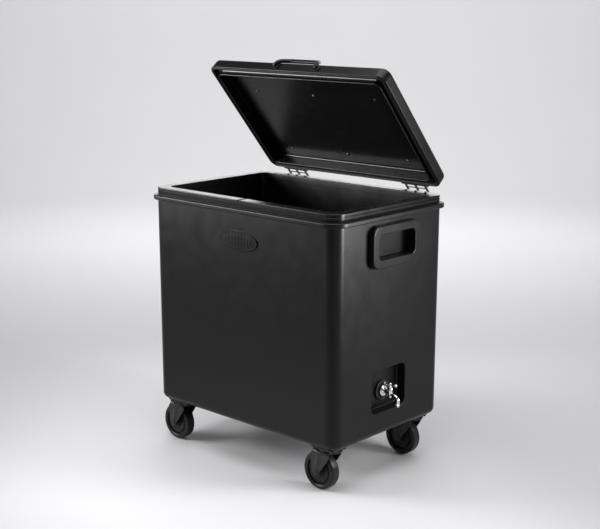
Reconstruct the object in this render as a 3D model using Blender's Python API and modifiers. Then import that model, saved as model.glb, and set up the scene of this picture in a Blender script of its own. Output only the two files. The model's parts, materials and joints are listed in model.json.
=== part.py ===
"""Portable waste tote: a double-walled tub on four swivel casters.

The lid is hinged along the rear edge and stands open, moulded grips sit in both
ends, and a quarter-turn tap drains the tank through a recess in the right end.

Frame: metres, +Z up, origin at the centre of the flat underside of the tub.
The badge is on the front (-Y) and the tap is on the right end (+X).
"""
import math

import bmesh
import bpy
from mathutils import Matrix, Vector

# Driving dimensions of the tub, in metres
BODY_WIDTH = 0.520
BODY_DEPTH = 0.345
CORNER_RADIUS = 0.026
FOOT_RADIUS = 0.0156
SHELL_TOP = 0.4611
SHELL_WALL = 0.0032
SHELL_DRAFT = 0.0037
FLANGE_OUT = 0.0093
FLANGE_HEIGHT = 0.0118
RIM_TOP = 0.4753
RIM_WALL = 0.0234
RIM_ROUND = 0.002
OPENING_CORNER = 0.016
TANK_WALL = 0.003
UNDER_PANEL = (0.340, 0.260)
UNDER_PANEL_CORNER = 0.020
UNDER_GROOVE = (0.003, 0.0008)
TANK_DRAFT = 0.0315
TANK_FLOOR = 0.0125
TANK_FOOT_RADIUS = 0.012
NOTCH_WIDTH = 0.008
NOTCH_DEPTH = 0.0017
GAP = 0.0003

# Lid, drawn closed and then turned open about the hinge pins
LID_WIDTH = 0.489
LID_DEPTH = 0.314
LID_BASE = RIM_TOP + 0.001
LID_HEIGHT = 0.028
LID_CORNER = 0.020
LID_EDGE_RADIUS = 0.0104
LID_WALL = 0.003
LID_OPEN_ANGLE = math.radians(49.6)
PIN_Y = 0.180
PIN_Z = 0.4519
LIP_INSET = 0.021
LIP_WALL = 0.003
LIP_DROP = 0.003
LIP_CORNER = 0.010
PAN_CEILING = 0.4975
PAN_SKIN = 0.0025
PAN_ROUND = 0.004
LAND_BASE = 0.4793
LAND_SKIN = 0.0027
GASKET_WIDTH = 0.004

# Loop handle on the lid's free edge
HANDLE_X = 0.010
HANDLE_SPAN = 0.080
HANDLE_FOOT_SPAN = 0.114
HANDLE_OUT = -0.0086
HANDLE_RADIUS = 0.0035
HANDLE_BAR_Z = 0.5146
HANDLE_FOOT_Z = 0.4875
HANDLE_PAD = (0.016, 0.004, 0.013)
HANDLE_SQUARE = 0.0055
RIVET_RADIUS = 0.0025

# Hinges
HINGE_X = 0.172
HINGE_WIDTH = 0.072
LEAF_SKIN = 0.003
KNUCKLE_RADIUS = 0.0042
PIN_RADIUS = 0.0022
BODY_KNUCKLE_WIDTH = 0.0194
BODY_KNUCKLE_X = 0.013
FINGER_WIDTH = 0.005
FINGER_X = 0.026
TIE_RADIUS = 0.0012
BODY_LEAF_HEIGHT = 0.038
BODY_LEAF_TOP = 0.446
LID_LEAF_TOP = 0.493
HINGE_NOTCH_WIDTH = 0.076
TIE_BACK = 0.0115
PIN_HEAD_RADIUS = 0.0034

# Screws of the hinge leaves and of the lid liner
SCREW_RADIUS = 0.0016
SCREW_HOLE_RADIUS = 0.0019
SCREW_HEAD_RADIUS = 0.0036
SCREW_HEAD_HEIGHT = 0.0018
LEAF_SCREW_LENGTH = 0.0075
LEAF_SCREW_SPREAD = 0.024
BODY_SCREW_Z = BODY_LEAF_TOP - BODY_LEAF_HEIGHT / 2
LID_SCREW_Z = 0.4865
LINER_SCREW_LENGTH = 0.0034
LINER_SCREW_COLUMNS = (-0.166, 0.0, 0.166)
LINER_SCREW_ROWS = (-0.068, 0.109)

# Grips let into the two ends
GRIP_Z = 0.397
GRIP_BOSS = (0.150, 0.086)
GRIP_BOSS_RADIUS = 0.020
GRIP_OUT = 0.0135
GRIP_EDGE_RADIUS = 0.003
GRIP_CUP = (0.126, 0.062)
GRIP_CUP_RADIUS = 0.014
GRIP_POCKET = (0.114, 0.051)
GRIP_POCKET_RADIUS = 0.010
GRIP_POCKET_DEPTH = 0.026
GRIP_SKIN = 0.003

# Tap and its recess
RECESS = (0.108, 0.090)
RECESS_Y = -0.003
RECESS_Z = 0.096
RECESS_RADIUS = 0.014
RECESS_DEPTH = 0.0234
TAP_Z = 0.0873
TAP_COLUMN_X = 0.2605
TAP_COLUMN_RADIUS = 0.0056
TAP_COLUMN_TOP = 0.0960
TAP_COLUMN_BASE = 0.0800
TAP_NECK_RADIUS = 0.0050
SHANK_RADIUS = 0.008
SHANK_HOLE_RADIUS = 0.0093
DISC_RADIUS = 0.0215
DISC_SKIN = 0.004
SPOUT_RADIUS = 0.0046
SPOUT_X = 0.281
SPOUT_BASE = 0.064
BORE_RADIUS = 0.0031
BAR_Z = 0.1043
BAR_HALF = 0.0143
BAR_RADIUS = 0.0021
BALL_RADIUS = 0.0034
STEM_RADIUS = 0.0026
STEM_DEPTH = 0.0045
COLLAR_RADIUS = 0.0115
COLLAR_HEIGHT = 0.0035
GLAND_HEIGHT = 0.0035
SHANK_BORE_RADIUS = 0.0045
SHANK_INSIDE = 0.014
SEAL_RADIUS = 0.0145
SEAL_SKIN = 0.002
SEAL_CLEARANCE = 0.0007
LOCKNUT_RADIUS = 0.0155
LOCKNUT_HEIGHT = 0.0065

# Badge, a blank oval
BADGE_Z = 0.392
BADGE_WIDTH = 0.108
BADGE_HEIGHT = 0.040
BADGE_SKIN = 0.0022
BADGE_BORDER = 0.003
BADGE_SINK = 0.0009
BADGE_CLEARANCE = 0.0004

# Casters
CASTER_X = 0.2136
CASTER_Y = 0.133
CASTER_HEIGHT = 0.0979
TRAIL = 0.0205
WHEEL_RADIUS = 0.040
WHEEL_WIDTH = 0.022
HUB_RADIUS = 0.0295
HUB_WIDTH = 0.0236
HUB_BOSS_RADIUS = 0.0095
AXLE_RADIUS = 0.004
AXLE_HEAD_RADIUS = 0.0068
AXLE_HEAD_HEIGHT = 0.0042
TYRE_SHOULDER = 0.0045
HUB_WEB = 0.003
HUB_FLANGE = 0.003
HUB_FLANGE_SINK = 0.0008
PLATE = (0.060, 0.052)
PLATE_SKIN = 0.003
PLATE_CORNER = 0.006
CROWN_RADIUS = 0.020
CROWN_BASE = -0.0138
LEG_INNER = 0.0135
LEG_SKIN = 0.003
LEG_TOP_Z = -0.0105
LEG_REAR = -0.0335
LEG_FRONT = 0.0165
LEG_EYE_RADIUS = 0.009
LEG_HEEL_RISE = 0.6
LEG_CHAMFER = 0.004
KINGPIN_RADIUS = 0.005
KINGPIN_HEAD_RADIUS = 0.0085
KINGPIN_HEAD_HEIGHT = 0.003
BOLT_X = 0.022
BOLT_Y = 0.018
BOLT_RADIUS = 0.003
NUT_RADIUS = 0.0055
NUT_HEIGHT = 0.0042
STUD_PLATE = (0.056, 0.044)
STUD_PLATE_SKIN = 0.002

# Cutters run past the faces they open, and joined pieces run into each other, by this much
PAST = 0.004
BITE = 0.001

# How finely round forms are divided
WHEEL_STEPS = 20
ROUND_STEPS = 16
BADGE_STEPS = 24
FINE_STEPS = 10
HOLE_STEPS = 8
HEX = 6
CORNER_STEPS = 4
PLATE_CORNER_STEPS = 2
EDGE_STEPS = 3
TYRE_EDGE_STEPS = 2
SHARP_ANGLE = math.radians(35)
MERGE = 0.00002

COLLECTION = "portable_waste_tote"
TOOLS = "cutters"


def clear_scene():
    for old in list(bpy.data.objects):
        bpy.data.objects.remove(old, do_unlink=True)


def collection(name):
    group = bpy.data.collections.get(name)
    if group is None:
        group = bpy.data.collections.new(name)
        bpy.context.scene.collection.children.link(group)
    return group


def material(name, colour, roughness, metallic=0.0):
    made = bpy.data.materials.get(name)
    if made is None:
        made = bpy.data.materials.new(name)
        made.use_nodes = True
        shader = made.node_tree.nodes["Principled BSDF"]
        shader.inputs["Base Color"].default_value = (*colour, 1.0)
        shader.inputs["Roughness"].default_value = roughness
        shader.inputs["Metallic"].default_value = metallic
    return made


def shell_plastic():
    return material("shell_plastic", (0.040, 0.040, 0.042), 0.5)


def tank_plastic():
    return material("tank_plastic", (0.020, 0.020, 0.022), 0.42)


def trim_plastic():
    return material("trim_plastic", (0.032, 0.032, 0.034), 0.5)


def soft_rubber():
    return material("soft_rubber", (0.012, 0.012, 0.012), 0.75)


def tyre_rubber():
    return material("tyre_rubber", (0.014, 0.014, 0.014), 0.7)


def hub_plastic():
    return material("hub_plastic", (0.030, 0.030, 0.032), 0.5)


def bright_chrome():
    return material("bright_chrome", (0.80, 0.80, 0.80), 0.12, 1.0)


def dark_steel():
    return material("dark_steel", (0.055, 0.055, 0.058), 0.4, 0.8)


def screw_steel():
    return material("screw_steel", (0.45, 0.45, 0.46), 0.3, 1.0)


def mesh_from(bm, name):
    bmesh.ops.recalc_face_normals(bm, faces=bm.faces)
    mesh = bpy.data.meshes.new(name)
    bm.to_mesh(mesh)
    bm.free()
    return mesh


def add_object(name, mesh, finish, group=COLLECTION):
    made = bpy.data.objects.new(name, mesh)
    if finish is not None:
        mesh.materials.clear()
        mesh.materials.append(finish)
    collection(group).objects.link(made)
    mesh.shade_smooth()
    mesh.set_sharp_from_angle(angle=SHARP_ANGLE)
    return made


def tool(mesh, parent=None):
    made = add_object(mesh.name + "_tool", mesh, None, TOOLS)
    made.hide_render = True
    made.display_type = "WIRE"
    if parent is not None:
        hang(made, parent)
    return made


def empty(name, place, parent=None):
    made = bpy.data.objects.new(name, None)
    made.empty_display_size = 0.02
    made.parent = parent
    made.location = place
    collection(COLLECTION).objects.link(made)
    return made


def hang(piece, pivot):
    """Parent a piece drawn in the closed pose to a pivot, without moving it there."""
    piece.parent = pivot
    piece.location = -pivot.location


def boolean(target, other, operation):
    step = target.modifiers.new(operation.lower(), "BOOLEAN")
    step.operation = operation
    step.object = other
    step.solver = "EXACT"


def join(target, *meshes):
    for mesh in meshes:
        boolean(target, tool(mesh, target.parent), "UNION")


def cut(target, *meshes):
    for mesh in meshes:
        boolean(target, tool(mesh, target.parent), "DIFFERENCE")


def baked(piece):
    """The evaluated mesh of a piece; the piece and its modifiers are removed."""
    bpy.context.view_layer.update()
    graph = bpy.context.evaluated_depsgraph_get()
    mesh = bpy.data.meshes.new_from_object(piece.evaluated_get(graph))
    bm = bmesh.new()
    bm.from_mesh(mesh)
    bmesh.ops.remove_doubles(bm, verts=bm.verts, dist=MERGE)
    bm.to_mesh(mesh)
    bm.free()
    mesh.name = piece.name
    bpy.data.objects.remove(piece, do_unlink=True)
    return mesh


def rounded_box(name, width, depth, base, top, corner, draft=0.0, base_round=0.0, top_round=0.0,
                steps=CORNER_STEPS):
    """A box with round upright corners, narrowing downwards, with optional round rims."""
    bm = bmesh.new()
    bmesh.ops.create_cube(bm, size=1.0)
    inset = draft * (top - base)
    for vert in bm.verts:
        upper = vert.co.z > 0
        shrink = 0.0 if upper else inset
        vert.co.x = math.copysign(width / 2 - shrink, vert.co.x)
        vert.co.y = math.copysign(depth / 2 - shrink, vert.co.y)
        vert.co.z = top if upper else base
    upright = [e for e in bm.edges if abs(e.verts[0].co.z - e.verts[1].co.z) > (top - base) / 2]
    bmesh.ops.bevel(bm, geom=upright, offset=corner, segments=steps, profile=0.5,
                    affect="EDGES", clamp_overlap=False)
    for level, radius in ((base, base_round), (top, top_round)):
        if radius > 0:
            rim = [e for e in bm.edges if all(abs(v.co.z - level) < MERGE for v in e.verts)]
            bmesh.ops.bevel(bm, geom=rim, offset=radius, segments=EDGE_STEPS, profile=0.5,
                            affect="EDGES", clamp_overlap=False)
    return mesh_from(bm, name)


def end_box(name, size, centre_y, centre_z, near, far, corner, far_round=0.0):
    """A rounded box whose axis runs along X from near to far, as seen on the right end."""
    mesh = rounded_box(name, size[1], size[0], near, far, corner, top_round=far_round)
    mesh.transform(Matrix.Rotation(math.radians(90), 4, "Y"))
    mesh.transform(Matrix.Translation((0.0, centre_y, centre_z)))
    return mesh


def box(name, low, high):
    bm = bmesh.new()
    bmesh.ops.create_cube(bm, size=1.0)
    middle = (Vector(low) + Vector(high)) / 2
    size = Vector(high) - Vector(low)
    bmesh.ops.scale(bm, vec=size, verts=bm.verts)
    bmesh.ops.translate(bm, vec=middle, verts=bm.verts)
    return mesh_from(bm, name)


def cylinder(name, radius, start, end, steps=ROUND_STEPS, end_radius=None):
    """A closed cylinder, cone or prism from start to end."""
    start = Vector(start)
    axis = Vector(end) - start
    bm = bmesh.new()
    far = radius if end_radius is None else end_radius
    bmesh.ops.create_cone(bm, cap_ends=True, segments=steps, radius1=radius, radius2=far,
                          depth=axis.length)
    turn = axis.to_track_quat("Z", "Y").to_matrix().to_4x4()
    bmesh.ops.transform(bm, matrix=Matrix.Translation(start + axis / 2) @ turn, verts=bm.verts)
    return mesh_from(bm, name)


def ball(name, radius, place):
    bm = bmesh.new()
    bmesh.ops.create_uvsphere(bm, u_segments=FINE_STEPS, v_segments=HOLE_STEPS, radius=radius)
    bmesh.ops.translate(bm, vec=place, verts=bm.verts)
    return mesh_from(bm, name)


def turned(name, profile, steps=ROUND_STEPS):
    """A ring turned about Y: profile is a closed loop of (radius, y)."""
    bm = bmesh.new()
    verts = [bm.verts.new((radius, y, 0.0)) for radius, y in profile]
    for first, second in zip(verts, verts[1:] + verts[:1]):
        bm.edges.new((first, second))
    mesh = bpy.data.meshes.new(name)
    bm.to_mesh(mesh)
    bm.free()
    piece = add_object(name, mesh, None, TOOLS)
    screw = piece.modifiers.new("turn", "SCREW")
    screw.axis = "Y"
    screw.steps = steps
    screw.render_steps = steps
    screw.use_merge_vertices = True
    screw.merge_threshold = MERGE
    made = baked(piece)
    bm = bmesh.new()
    bm.from_mesh(made)
    return mesh_from(bm, name)


def tube(name, points, radius, smooth):
    """A round bar along points, with closed ends."""
    curve = bpy.data.curves.new(name, "CURVE")
    curve.dimensions = "3D"
    spline = curve.splines.new("BEZIER" if smooth else "POLY")
    if smooth:
        spline.bezier_points.add(len(points) - 1)
        for knot, place in zip(spline.bezier_points, points):
            knot.co = place
            knot.handle_left_type = "AUTO"
            knot.handle_right_type = "AUTO"
        spline.resolution_u = 4
    else:
        spline.points.add(len(points) - 1)
        for knot, place in zip(spline.points, points):
            knot.co = (*place, 1.0)
    curve.bevel_depth = radius
    curve.bevel_resolution = 3
    curve.use_fill_caps = True
    piece = bpy.data.objects.new(name, curve)
    collection(TOOLS).objects.link(piece)
    made = baked(piece)
    bm = bmesh.new()
    bm.from_mesh(made)
    return mesh_from(bm, name)


def leg_mesh(side):
    """One fork leg: a flat outline from the crown down to a round eye at the axle."""
    axle_z = axle_height()
    curve = bpy.data.curves.new("fork_leg", "CURVE")
    curve.dimensions = "2D"
    curve.fill_mode = "BOTH"
    curve.extrude = LEG_SKIN / 2
    spline = curve.splines.new("POLY")
    outline = [(LEG_REAR + LEG_CHAMFER, LEG_TOP_Z), (LEG_FRONT, LEG_TOP_Z), (LEG_FRONT, 2 * LEG_TOP_Z)]
    for step in range(FINE_STEPS // 2 + 1):
        angle = math.radians(25 - 190 * step / (FINE_STEPS // 2))
        outline.append((-TRAIL + LEG_EYE_RADIUS * math.cos(angle),
                        axle_z + LEG_EYE_RADIUS * math.sin(angle)))
    outline += [(LEG_REAR, LEG_HEEL_RISE * axle_z), (LEG_REAR, 2 * LEG_TOP_Z)]
    spline.points.add(len(outline) - 1)
    for knot, (x, z) in zip(spline.points, outline):
        knot.co = (x, z, 0.0, 1.0)
    spline.use_cyclic_u = True
    piece = bpy.data.objects.new("fork_leg", curve)
    collection(TOOLS).objects.link(piece)
    made = baked(piece)
    made.transform(Matrix.Rotation(math.radians(90), 4, "X"))
    made.transform(Matrix.Translation((0.0, side * (LEG_INNER + LEG_SKIN / 2), 0.0)))
    bm = bmesh.new()
    bm.from_mesh(made)
    return mesh_from(bm, "fork_leg")


def axle_height():
    return WHEEL_RADIUS - CASTER_HEIGHT


def caster_places():
    for end, sign_x in (("left", -1), ("right", 1)):
        for side, sign_y in (("front", -1), ("rear", 1)):
            yield f"{side}_{end}", (sign_x * CASTER_X, sign_y * CASTER_Y, 0.0)


def bolt_places(x_gap, y_gap):
    return [(sx * x_gap, sy * y_gap) for sx in (-1, 1) for sy in (-1, 1)]


def shell_half(height, half):
    """How far the outer shell's wall stands from the centre plane at a height."""
    return half - SHELL_DRAFT * (SHELL_TOP - height)


def build_outer_shell():
    lap = FLANGE_HEIGHT / 2
    body = rounded_box("outer_shell", BODY_WIDTH, BODY_DEPTH, 0.0, SHELL_TOP - lap, CORNER_RADIUS,
                       draft=SHELL_DRAFT, base_round=FOOT_RADIUS)
    shell = add_object("outer_shell", body, shell_plastic())
    join(shell, rounded_box("flange", BODY_WIDTH + 2 * FLANGE_OUT, BODY_DEPTH + 2 * FLANGE_OUT,
                            SHELL_TOP - FLANGE_HEIGHT, SHELL_TOP, CORNER_RADIUS + FLANGE_OUT))
    cut(shell, rounded_box("shell_cavity", BODY_WIDTH - 2 * SHELL_WALL, BODY_DEPTH - 2 * SHELL_WALL,
                           SHELL_WALL, RIM_TOP, CORNER_RADIUS - SHELL_WALL, draft=SHELL_DRAFT,
                           base_round=FOOT_RADIUS - SHELL_WALL))
    recess_floor = BODY_WIDTH / 2 - RECESS_DEPTH
    cup = (RECESS[0] + 2 * SHELL_WALL, RECESS[1] + 2 * SHELL_WALL)
    wall_middle = shell_half(RECESS_Z, BODY_WIDTH / 2) - SHELL_WALL / 2
    join(shell, end_box("recess_cup", cup, RECESS_Y, RECESS_Z, recess_floor - SHELL_WALL, wall_middle,
                        RECESS_RADIUS + SHELL_WALL))
    cut(shell, end_box("recess", RECESS, RECESS_Y, RECESS_Z, recess_floor, BODY_WIDTH / 2 + PAST,
                       RECESS_RADIUS))
    cut(shell, cylinder("shank_hole", SHANK_HOLE_RADIUS, (recess_floor - SHELL_WALL - PAST, 0.0, TAP_Z),
                        (recess_floor + PAST, 0.0, TAP_Z), FINE_STEPS))
    opening = (GRIP_CUP[0] + 2 * GAP, GRIP_CUP[1] + 2 * GAP)
    for turn in (0, 180):
        slot = end_box("grip_slot", opening, 0.0, GRIP_Z, BODY_WIDTH / 2 - 2 * SHELL_WALL,
                       BODY_WIDTH / 2 + PAST, GRIP_CUP_RADIUS)
        slot.transform(Matrix.Rotation(math.radians(turn), 4, "Z"))
        cut(shell, slot)
    for side in (-1, 1):
        middle = side * HINGE_X
        cut(shell, box("hinge_notch",
                       (middle - HINGE_NOTCH_WIDTH / 2, BODY_DEPTH / 2 + GAP,
                        SHELL_TOP - FLANGE_HEIGHT - PAST),
                       (middle + HINGE_NOTCH_WIDTH / 2, BODY_DEPTH / 2 + FLANGE_OUT + PAST, RIM_TOP)))
        for x in leaf_screw_places(side):
            cut(shell, cylinder("leaf_hole", SCREW_HOLE_RADIUS,
                                (x, BODY_DEPTH / 2 - SHELL_WALL - PAST, BODY_SCREW_Z),
                                (x, BODY_DEPTH / 2 + PAST, BODY_SCREW_Z), HOLE_STEPS))
    wide, deep = UNDER_GROOVE
    cut(shell, rounded_box("under_groove", UNDER_PANEL[0] + 2 * wide, UNDER_PANEL[1] + 2 * wide, -PAST,
                           deep, UNDER_PANEL_CORNER + wide))
    join(shell, rounded_box("under_panel", UNDER_PANEL[0], UNDER_PANEL[1], 0.0, deep + BITE,
                            UNDER_PANEL_CORNER))
    for _, place in caster_places():
        for x, y in bolt_places(BOLT_X, BOLT_Y):
            spot = Vector(place) + Vector((x, y, 0.0))
            cut(shell, cylinder("bolt_hole", BOLT_RADIUS + GAP, spot - Vector((0, 0, PAST)),
                                spot + Vector((0, 0, SHELL_WALL + PAST)), HOLE_STEPS))


def leaf_screw_places(side):
    return [side * HINGE_X + end * LEAF_SCREW_SPREAD for end in (-1, 1)]


def build_inner_tub():
    rim_base = SHELL_TOP + GAP
    rim = rounded_box("inner_tub", BODY_WIDTH, BODY_DEPTH, rim_base, RIM_TOP, CORNER_RADIUS,
                      top_round=RIM_ROUND)
    tub = add_object("inner_tub", rim, tank_plastic())
    inner_width = BODY_WIDTH - 2 * RIM_WALL
    inner_depth = BODY_DEPTH - 2 * RIM_WALL
    middle = (rim_base + RIM_TOP) / 2
    slack = 2 * TANK_DRAFT * (RIM_TOP - middle)
    join(tub, rounded_box("tank_body", inner_width + 2 * TANK_WALL - slack,
                          inner_depth + 2 * TANK_WALL - slack, TANK_FLOOR - TANK_WALL, middle,
                          OPENING_CORNER + TANK_WALL, draft=TANK_DRAFT,
                          base_round=TANK_FOOT_RADIUS + TANK_WALL))
    reach = 2 * TANK_DRAFT * PAST
    cut(tub, rounded_box("tank_cavity", inner_width + reach, inner_depth + reach, TANK_FLOOR,
                         RIM_TOP + PAST, OPENING_CORNER, draft=TANK_DRAFT,
                         base_round=TANK_FOOT_RADIUS))
    cut(tub, box("rim_notch", (-NOTCH_WIDTH / 2, -BODY_DEPTH / 2 - PAST, RIM_TOP - NOTCH_DEPTH),
                 (NOTCH_WIDTH / 2, -BODY_DEPTH / 2 + RIM_WALL + PAST, RIM_TOP + PAST)))
    cut(tub, cylinder("tank_hole", SHANK_HOLE_RADIUS, (tank_wall_x() - PAST, 0.0, TAP_Z),
                      (tank_wall_x() + TANK_WALL + PAST, 0.0, TAP_Z), FINE_STEPS))


def tank_wall_x():
    """Inner face of the tank's right wall at the height of the tap."""
    return BODY_WIDTH / 2 - RIM_WALL - TANK_DRAFT * (RIM_TOP - TAP_Z)


def build_grips():
    wall = BODY_WIDTH / 2 + GAP
    face = BODY_WIDTH / 2 + GRIP_OUT
    floor = face - GRIP_POCKET_DEPTH
    boss = end_box("side_grip", GRIP_BOSS, 0.0, GRIP_Z, wall, face, GRIP_BOSS_RADIUS,
                   far_round=GRIP_EDGE_RADIUS)
    grip = add_object("side_grip", boss, trim_plastic())
    join(grip, end_box("grip_cup", GRIP_CUP, 0.0, GRIP_Z, floor - GRIP_SKIN, wall + BITE,
                       GRIP_CUP_RADIUS))
    cut(grip, end_box("grip_pocket", GRIP_POCKET, 0.0, GRIP_Z, floor, face + PAST,
                      GRIP_POCKET_RADIUS))
    right = baked(grip)
    left = right.copy()
    left.transform(Matrix.Rotation(math.radians(180), 4, "Z"))
    add_object("side_grip_right", right, trim_plastic())
    add_object("side_grip_left", left, trim_plastic())


def oval(name, width, height, near, far):
    mesh = cylinder(name, 0.5, (0, 0, 0), (0, 0, 1), BADGE_STEPS)
    mesh.transform(Matrix.Diagonal((width, height, near - far, 1.0)))
    mesh.transform(Matrix.Rotation(math.radians(90), 4, "X"))
    mesh.transform(Matrix.Translation((0.0, near, BADGE_Z)))
    return mesh


def build_badge():
    back = -shell_half(BADGE_Z, BODY_DEPTH / 2) - BADGE_CLEARANCE
    face = back - BADGE_SKIN
    badge = add_object("front_badge", oval("front_badge", BADGE_WIDTH, BADGE_HEIGHT, back, face),
                       trim_plastic())
    cut(badge, oval("badge_sink", BADGE_WIDTH - 2 * BADGE_BORDER, BADGE_HEIGHT - 2 * BADGE_BORDER,
                    face + BADGE_SINK, face - PAST))


def along_tap(x):
    return (x, 0.0, TAP_Z)


def up_column(z):
    return (TAP_COLUMN_X, 0.0, z)


def build_tap():
    disc_back = BODY_WIDTH / 2 - RECESS_DEPTH + GAP
    disc_face = disc_back + DISC_SKIN
    build_tap_body(disc_face + GAP)
    build_tap_rings(disc_back, disc_face)
    build_tap_handle()


def build_tap_body(collar):
    """Shank through both walls, collar, neck, upright column and the bent spout."""
    shank_end = tank_wall_x() - SHANK_INSIDE
    collar_face = collar + COLLAR_HEIGHT
    foot = TAP_COLUMN_BASE
    foot_height = foot - TAP_COLUMN_RADIUS * 0.6
    body = add_object("tap_body", cylinder("tap_body", SHANK_RADIUS, along_tap(shank_end),
                      along_tap(collar + BITE), FINE_STEPS), bright_chrome())
    spout = [up_column(TAP_Z - SPOUT_RADIUS / 2), (SPOUT_X - 2 * SPOUT_RADIUS, 0.0, TAP_Z - SPOUT_RADIUS),
             (SPOUT_X - BITE, 0.0, TAP_Z - 2.5 * SPOUT_RADIUS), (SPOUT_X, 0.0, SPOUT_BASE)]
    join(body, cylinder("tap_collar", COLLAR_RADIUS, along_tap(collar), along_tap(collar_face)),
         cylinder("tap_neck", TAP_NECK_RADIUS, along_tap(collar + BITE), along_tap(TAP_COLUMN_X),
                  FINE_STEPS),
         cylinder("tap_column", TAP_COLUMN_RADIUS, up_column(foot), up_column(TAP_COLUMN_TOP)),
         cylinder("tap_foot", TAP_COLUMN_RADIUS - GAP, up_column(foot + BITE), up_column(foot_height),
                  ROUND_STEPS, TAP_COLUMN_RADIUS / 2),
         tube("tap_spout", spout, SPOUT_RADIUS, True))
    mouth = (SPOUT_X, 0.0, SPOUT_BASE - PAST)
    cut(body, cylinder("spout_bore", BORE_RADIUS, mouth, (SPOUT_X, 0.0, SPOUT_BASE + 2 * SPOUT_RADIUS),
                       FINE_STEPS),
        cylinder("shank_bore", SHANK_BORE_RADIUS, along_tap(shank_end - PAST),
                 along_tap(shank_end + 1.6 * SHANK_INSIDE), FINE_STEPS),
        cylinder("stem_socket", STEM_RADIUS + 2 * GAP, up_column(TAP_COLUMN_TOP - STEM_DEPTH - GAP),
                 up_column(TAP_COLUMN_TOP + PAST), FINE_STEPS))


def build_tap_rings(disc_back, disc_face):
    """The gasket disc outside, the seal and locknut inside the tank, and the gland nut on top."""
    wall = tank_wall_x()
    seal_back = wall - SEAL_CLEARANCE
    nut_back = seal_back - SEAL_SKIN - GAP
    for name, radius, near, far, steps, finish in (
            ("tap_gasket_disc", DISC_RADIUS, disc_back, disc_face, ROUND_STEPS, soft_rubber()),
            ("tap_seal", SEAL_RADIUS, seal_back - SEAL_SKIN, seal_back, ROUND_STEPS, soft_rubber()),
            ("tap_locknut", LOCKNUT_RADIUS, nut_back - LOCKNUT_HEIGHT, nut_back, HEX, trim_plastic())):
        ring = add_object(name, cylinder(name, radius, along_tap(near), along_tap(far), steps), finish)
        cut(ring, cylinder("ring_hole", SHANK_RADIUS + GAP, along_tap(near - PAST), along_tap(far + PAST),
                           FINE_STEPS))
    base = TAP_COLUMN_TOP + GAP
    gland = add_object("tap_gland_nut", cylinder("tap_gland_nut", TAP_COLUMN_RADIUS, up_column(base),
                       up_column(base + GLAND_HEIGHT), HEX), bright_chrome())
    cut(gland, cylinder("gland_hole", STEM_RADIUS + GAP, up_column(base - PAST),
                        up_column(base + GLAND_HEIGHT + PAST), FINE_STEPS))


def build_tap_handle():
    """The T handle on its stem, hung on the stem's axis."""
    lever = add_object("tap_handle", cylinder("tap_handle", STEM_RADIUS,
                       up_column(TAP_COLUMN_TOP - STEM_DEPTH), up_column(BAR_Z), FINE_STEPS),
                       bright_chrome())
    hang(lever, empty("tap_axis", up_column(BAR_Z)))
    inner_end = (TAP_COLUMN_X - BAR_HALF, 0.0, BAR_Z)
    outer_end = (TAP_COLUMN_X + BAR_HALF, 0.0, BAR_Z)
    join(lever, cylinder("handle_bar", BAR_RADIUS, inner_end, outer_end, FINE_STEPS),
         ball("ball_in", BALL_RADIUS, inner_end),
         ball("ball_out", BALL_RADIUS, outer_end))


def build_casters():
    plate = caster_plate_mesh()
    studs = stud_plate_mesh()
    fork = fork_mesh()
    axle = axle_mesh()
    tyre = tyre_mesh()
    hub = hub_mesh()
    for name, place in caster_places():
        add_object(f"caster_plate_{name}", plate.copy(), dark_steel()).location = place
        add_object(f"caster_stud_plate_{name}", studs.copy(), screw_steel()).location = place
        swivel = empty(f"swivel_axis_{name}", place)
        wheel = empty(f"wheel_axis_{name}", (-TRAIL, 0.0, axle_height()), swivel)
        for label, mesh, finish, parent in (("caster_fork", fork, dark_steel(), swivel),
                                            ("caster_axle", axle, screw_steel(), wheel),
                                            ("wheel_tyre", tyre, tyre_rubber(), wheel),
                                            ("wheel_hub", hub, hub_plastic(), wheel)):
            add_object(f"{label}_{name}", mesh.copy(), finish).parent = parent


def caster_plate_mesh():
    """The top plate with its riveted kingpin, which carries the fork."""
    plate = add_object("caster_plate", rounded_box("caster_plate", *PLATE, -GAP - PLATE_SKIN, -GAP,
                                                   PLATE_CORNER, steps=PLATE_CORNER_STEPS), None, TOOLS)
    head = CROWN_BASE - GAP
    join(plate, cylinder("kingpin", KINGPIN_RADIUS, (0, 0, head - BITE), (0, 0, -GAP - PLATE_SKIN / 2),
                         FINE_STEPS),
         cylinder("kingpin_head", KINGPIN_HEAD_RADIUS, (0, 0, head), (0, 0, head - KINGPIN_HEAD_HEIGHT),
                  FINE_STEPS, KINGPIN_HEAD_RADIUS * 0.7))
    for x, y in bolt_places(BOLT_X, BOLT_Y):
        cut(plate, cylinder("plate_hole", BOLT_RADIUS + GAP, (x, y, -GAP - PLATE_SKIN - PAST), (x, y, PAST),
                            HOLE_STEPS))
    return baked(plate)


def stud_plate_mesh():
    """The plate inside the shell, with its four studs and the nuts run up under the caster plate."""
    base = SHELL_WALL + GAP
    middle = base + STUD_PLATE_SKIN / 2
    plate = add_object("stud_plate", rounded_box("stud_plate", *STUD_PLATE, base, base + STUD_PLATE_SKIN,
                                                 PLATE_CORNER, steps=PLATE_CORNER_STEPS), None, TOOLS)
    seat = -2 * GAP - PLATE_SKIN
    for x, y in bolt_places(BOLT_X, BOLT_Y):
        join(plate, cylinder("stud", BOLT_RADIUS, (x, y, seat - NUT_HEIGHT - BITE), (x, y, middle),
                             HOLE_STEPS),
             cylinder("stud_nut", NUT_RADIUS, (x, y, seat - NUT_HEIGHT), (x, y, seat), HEX))
    return baked(plate)


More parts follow.
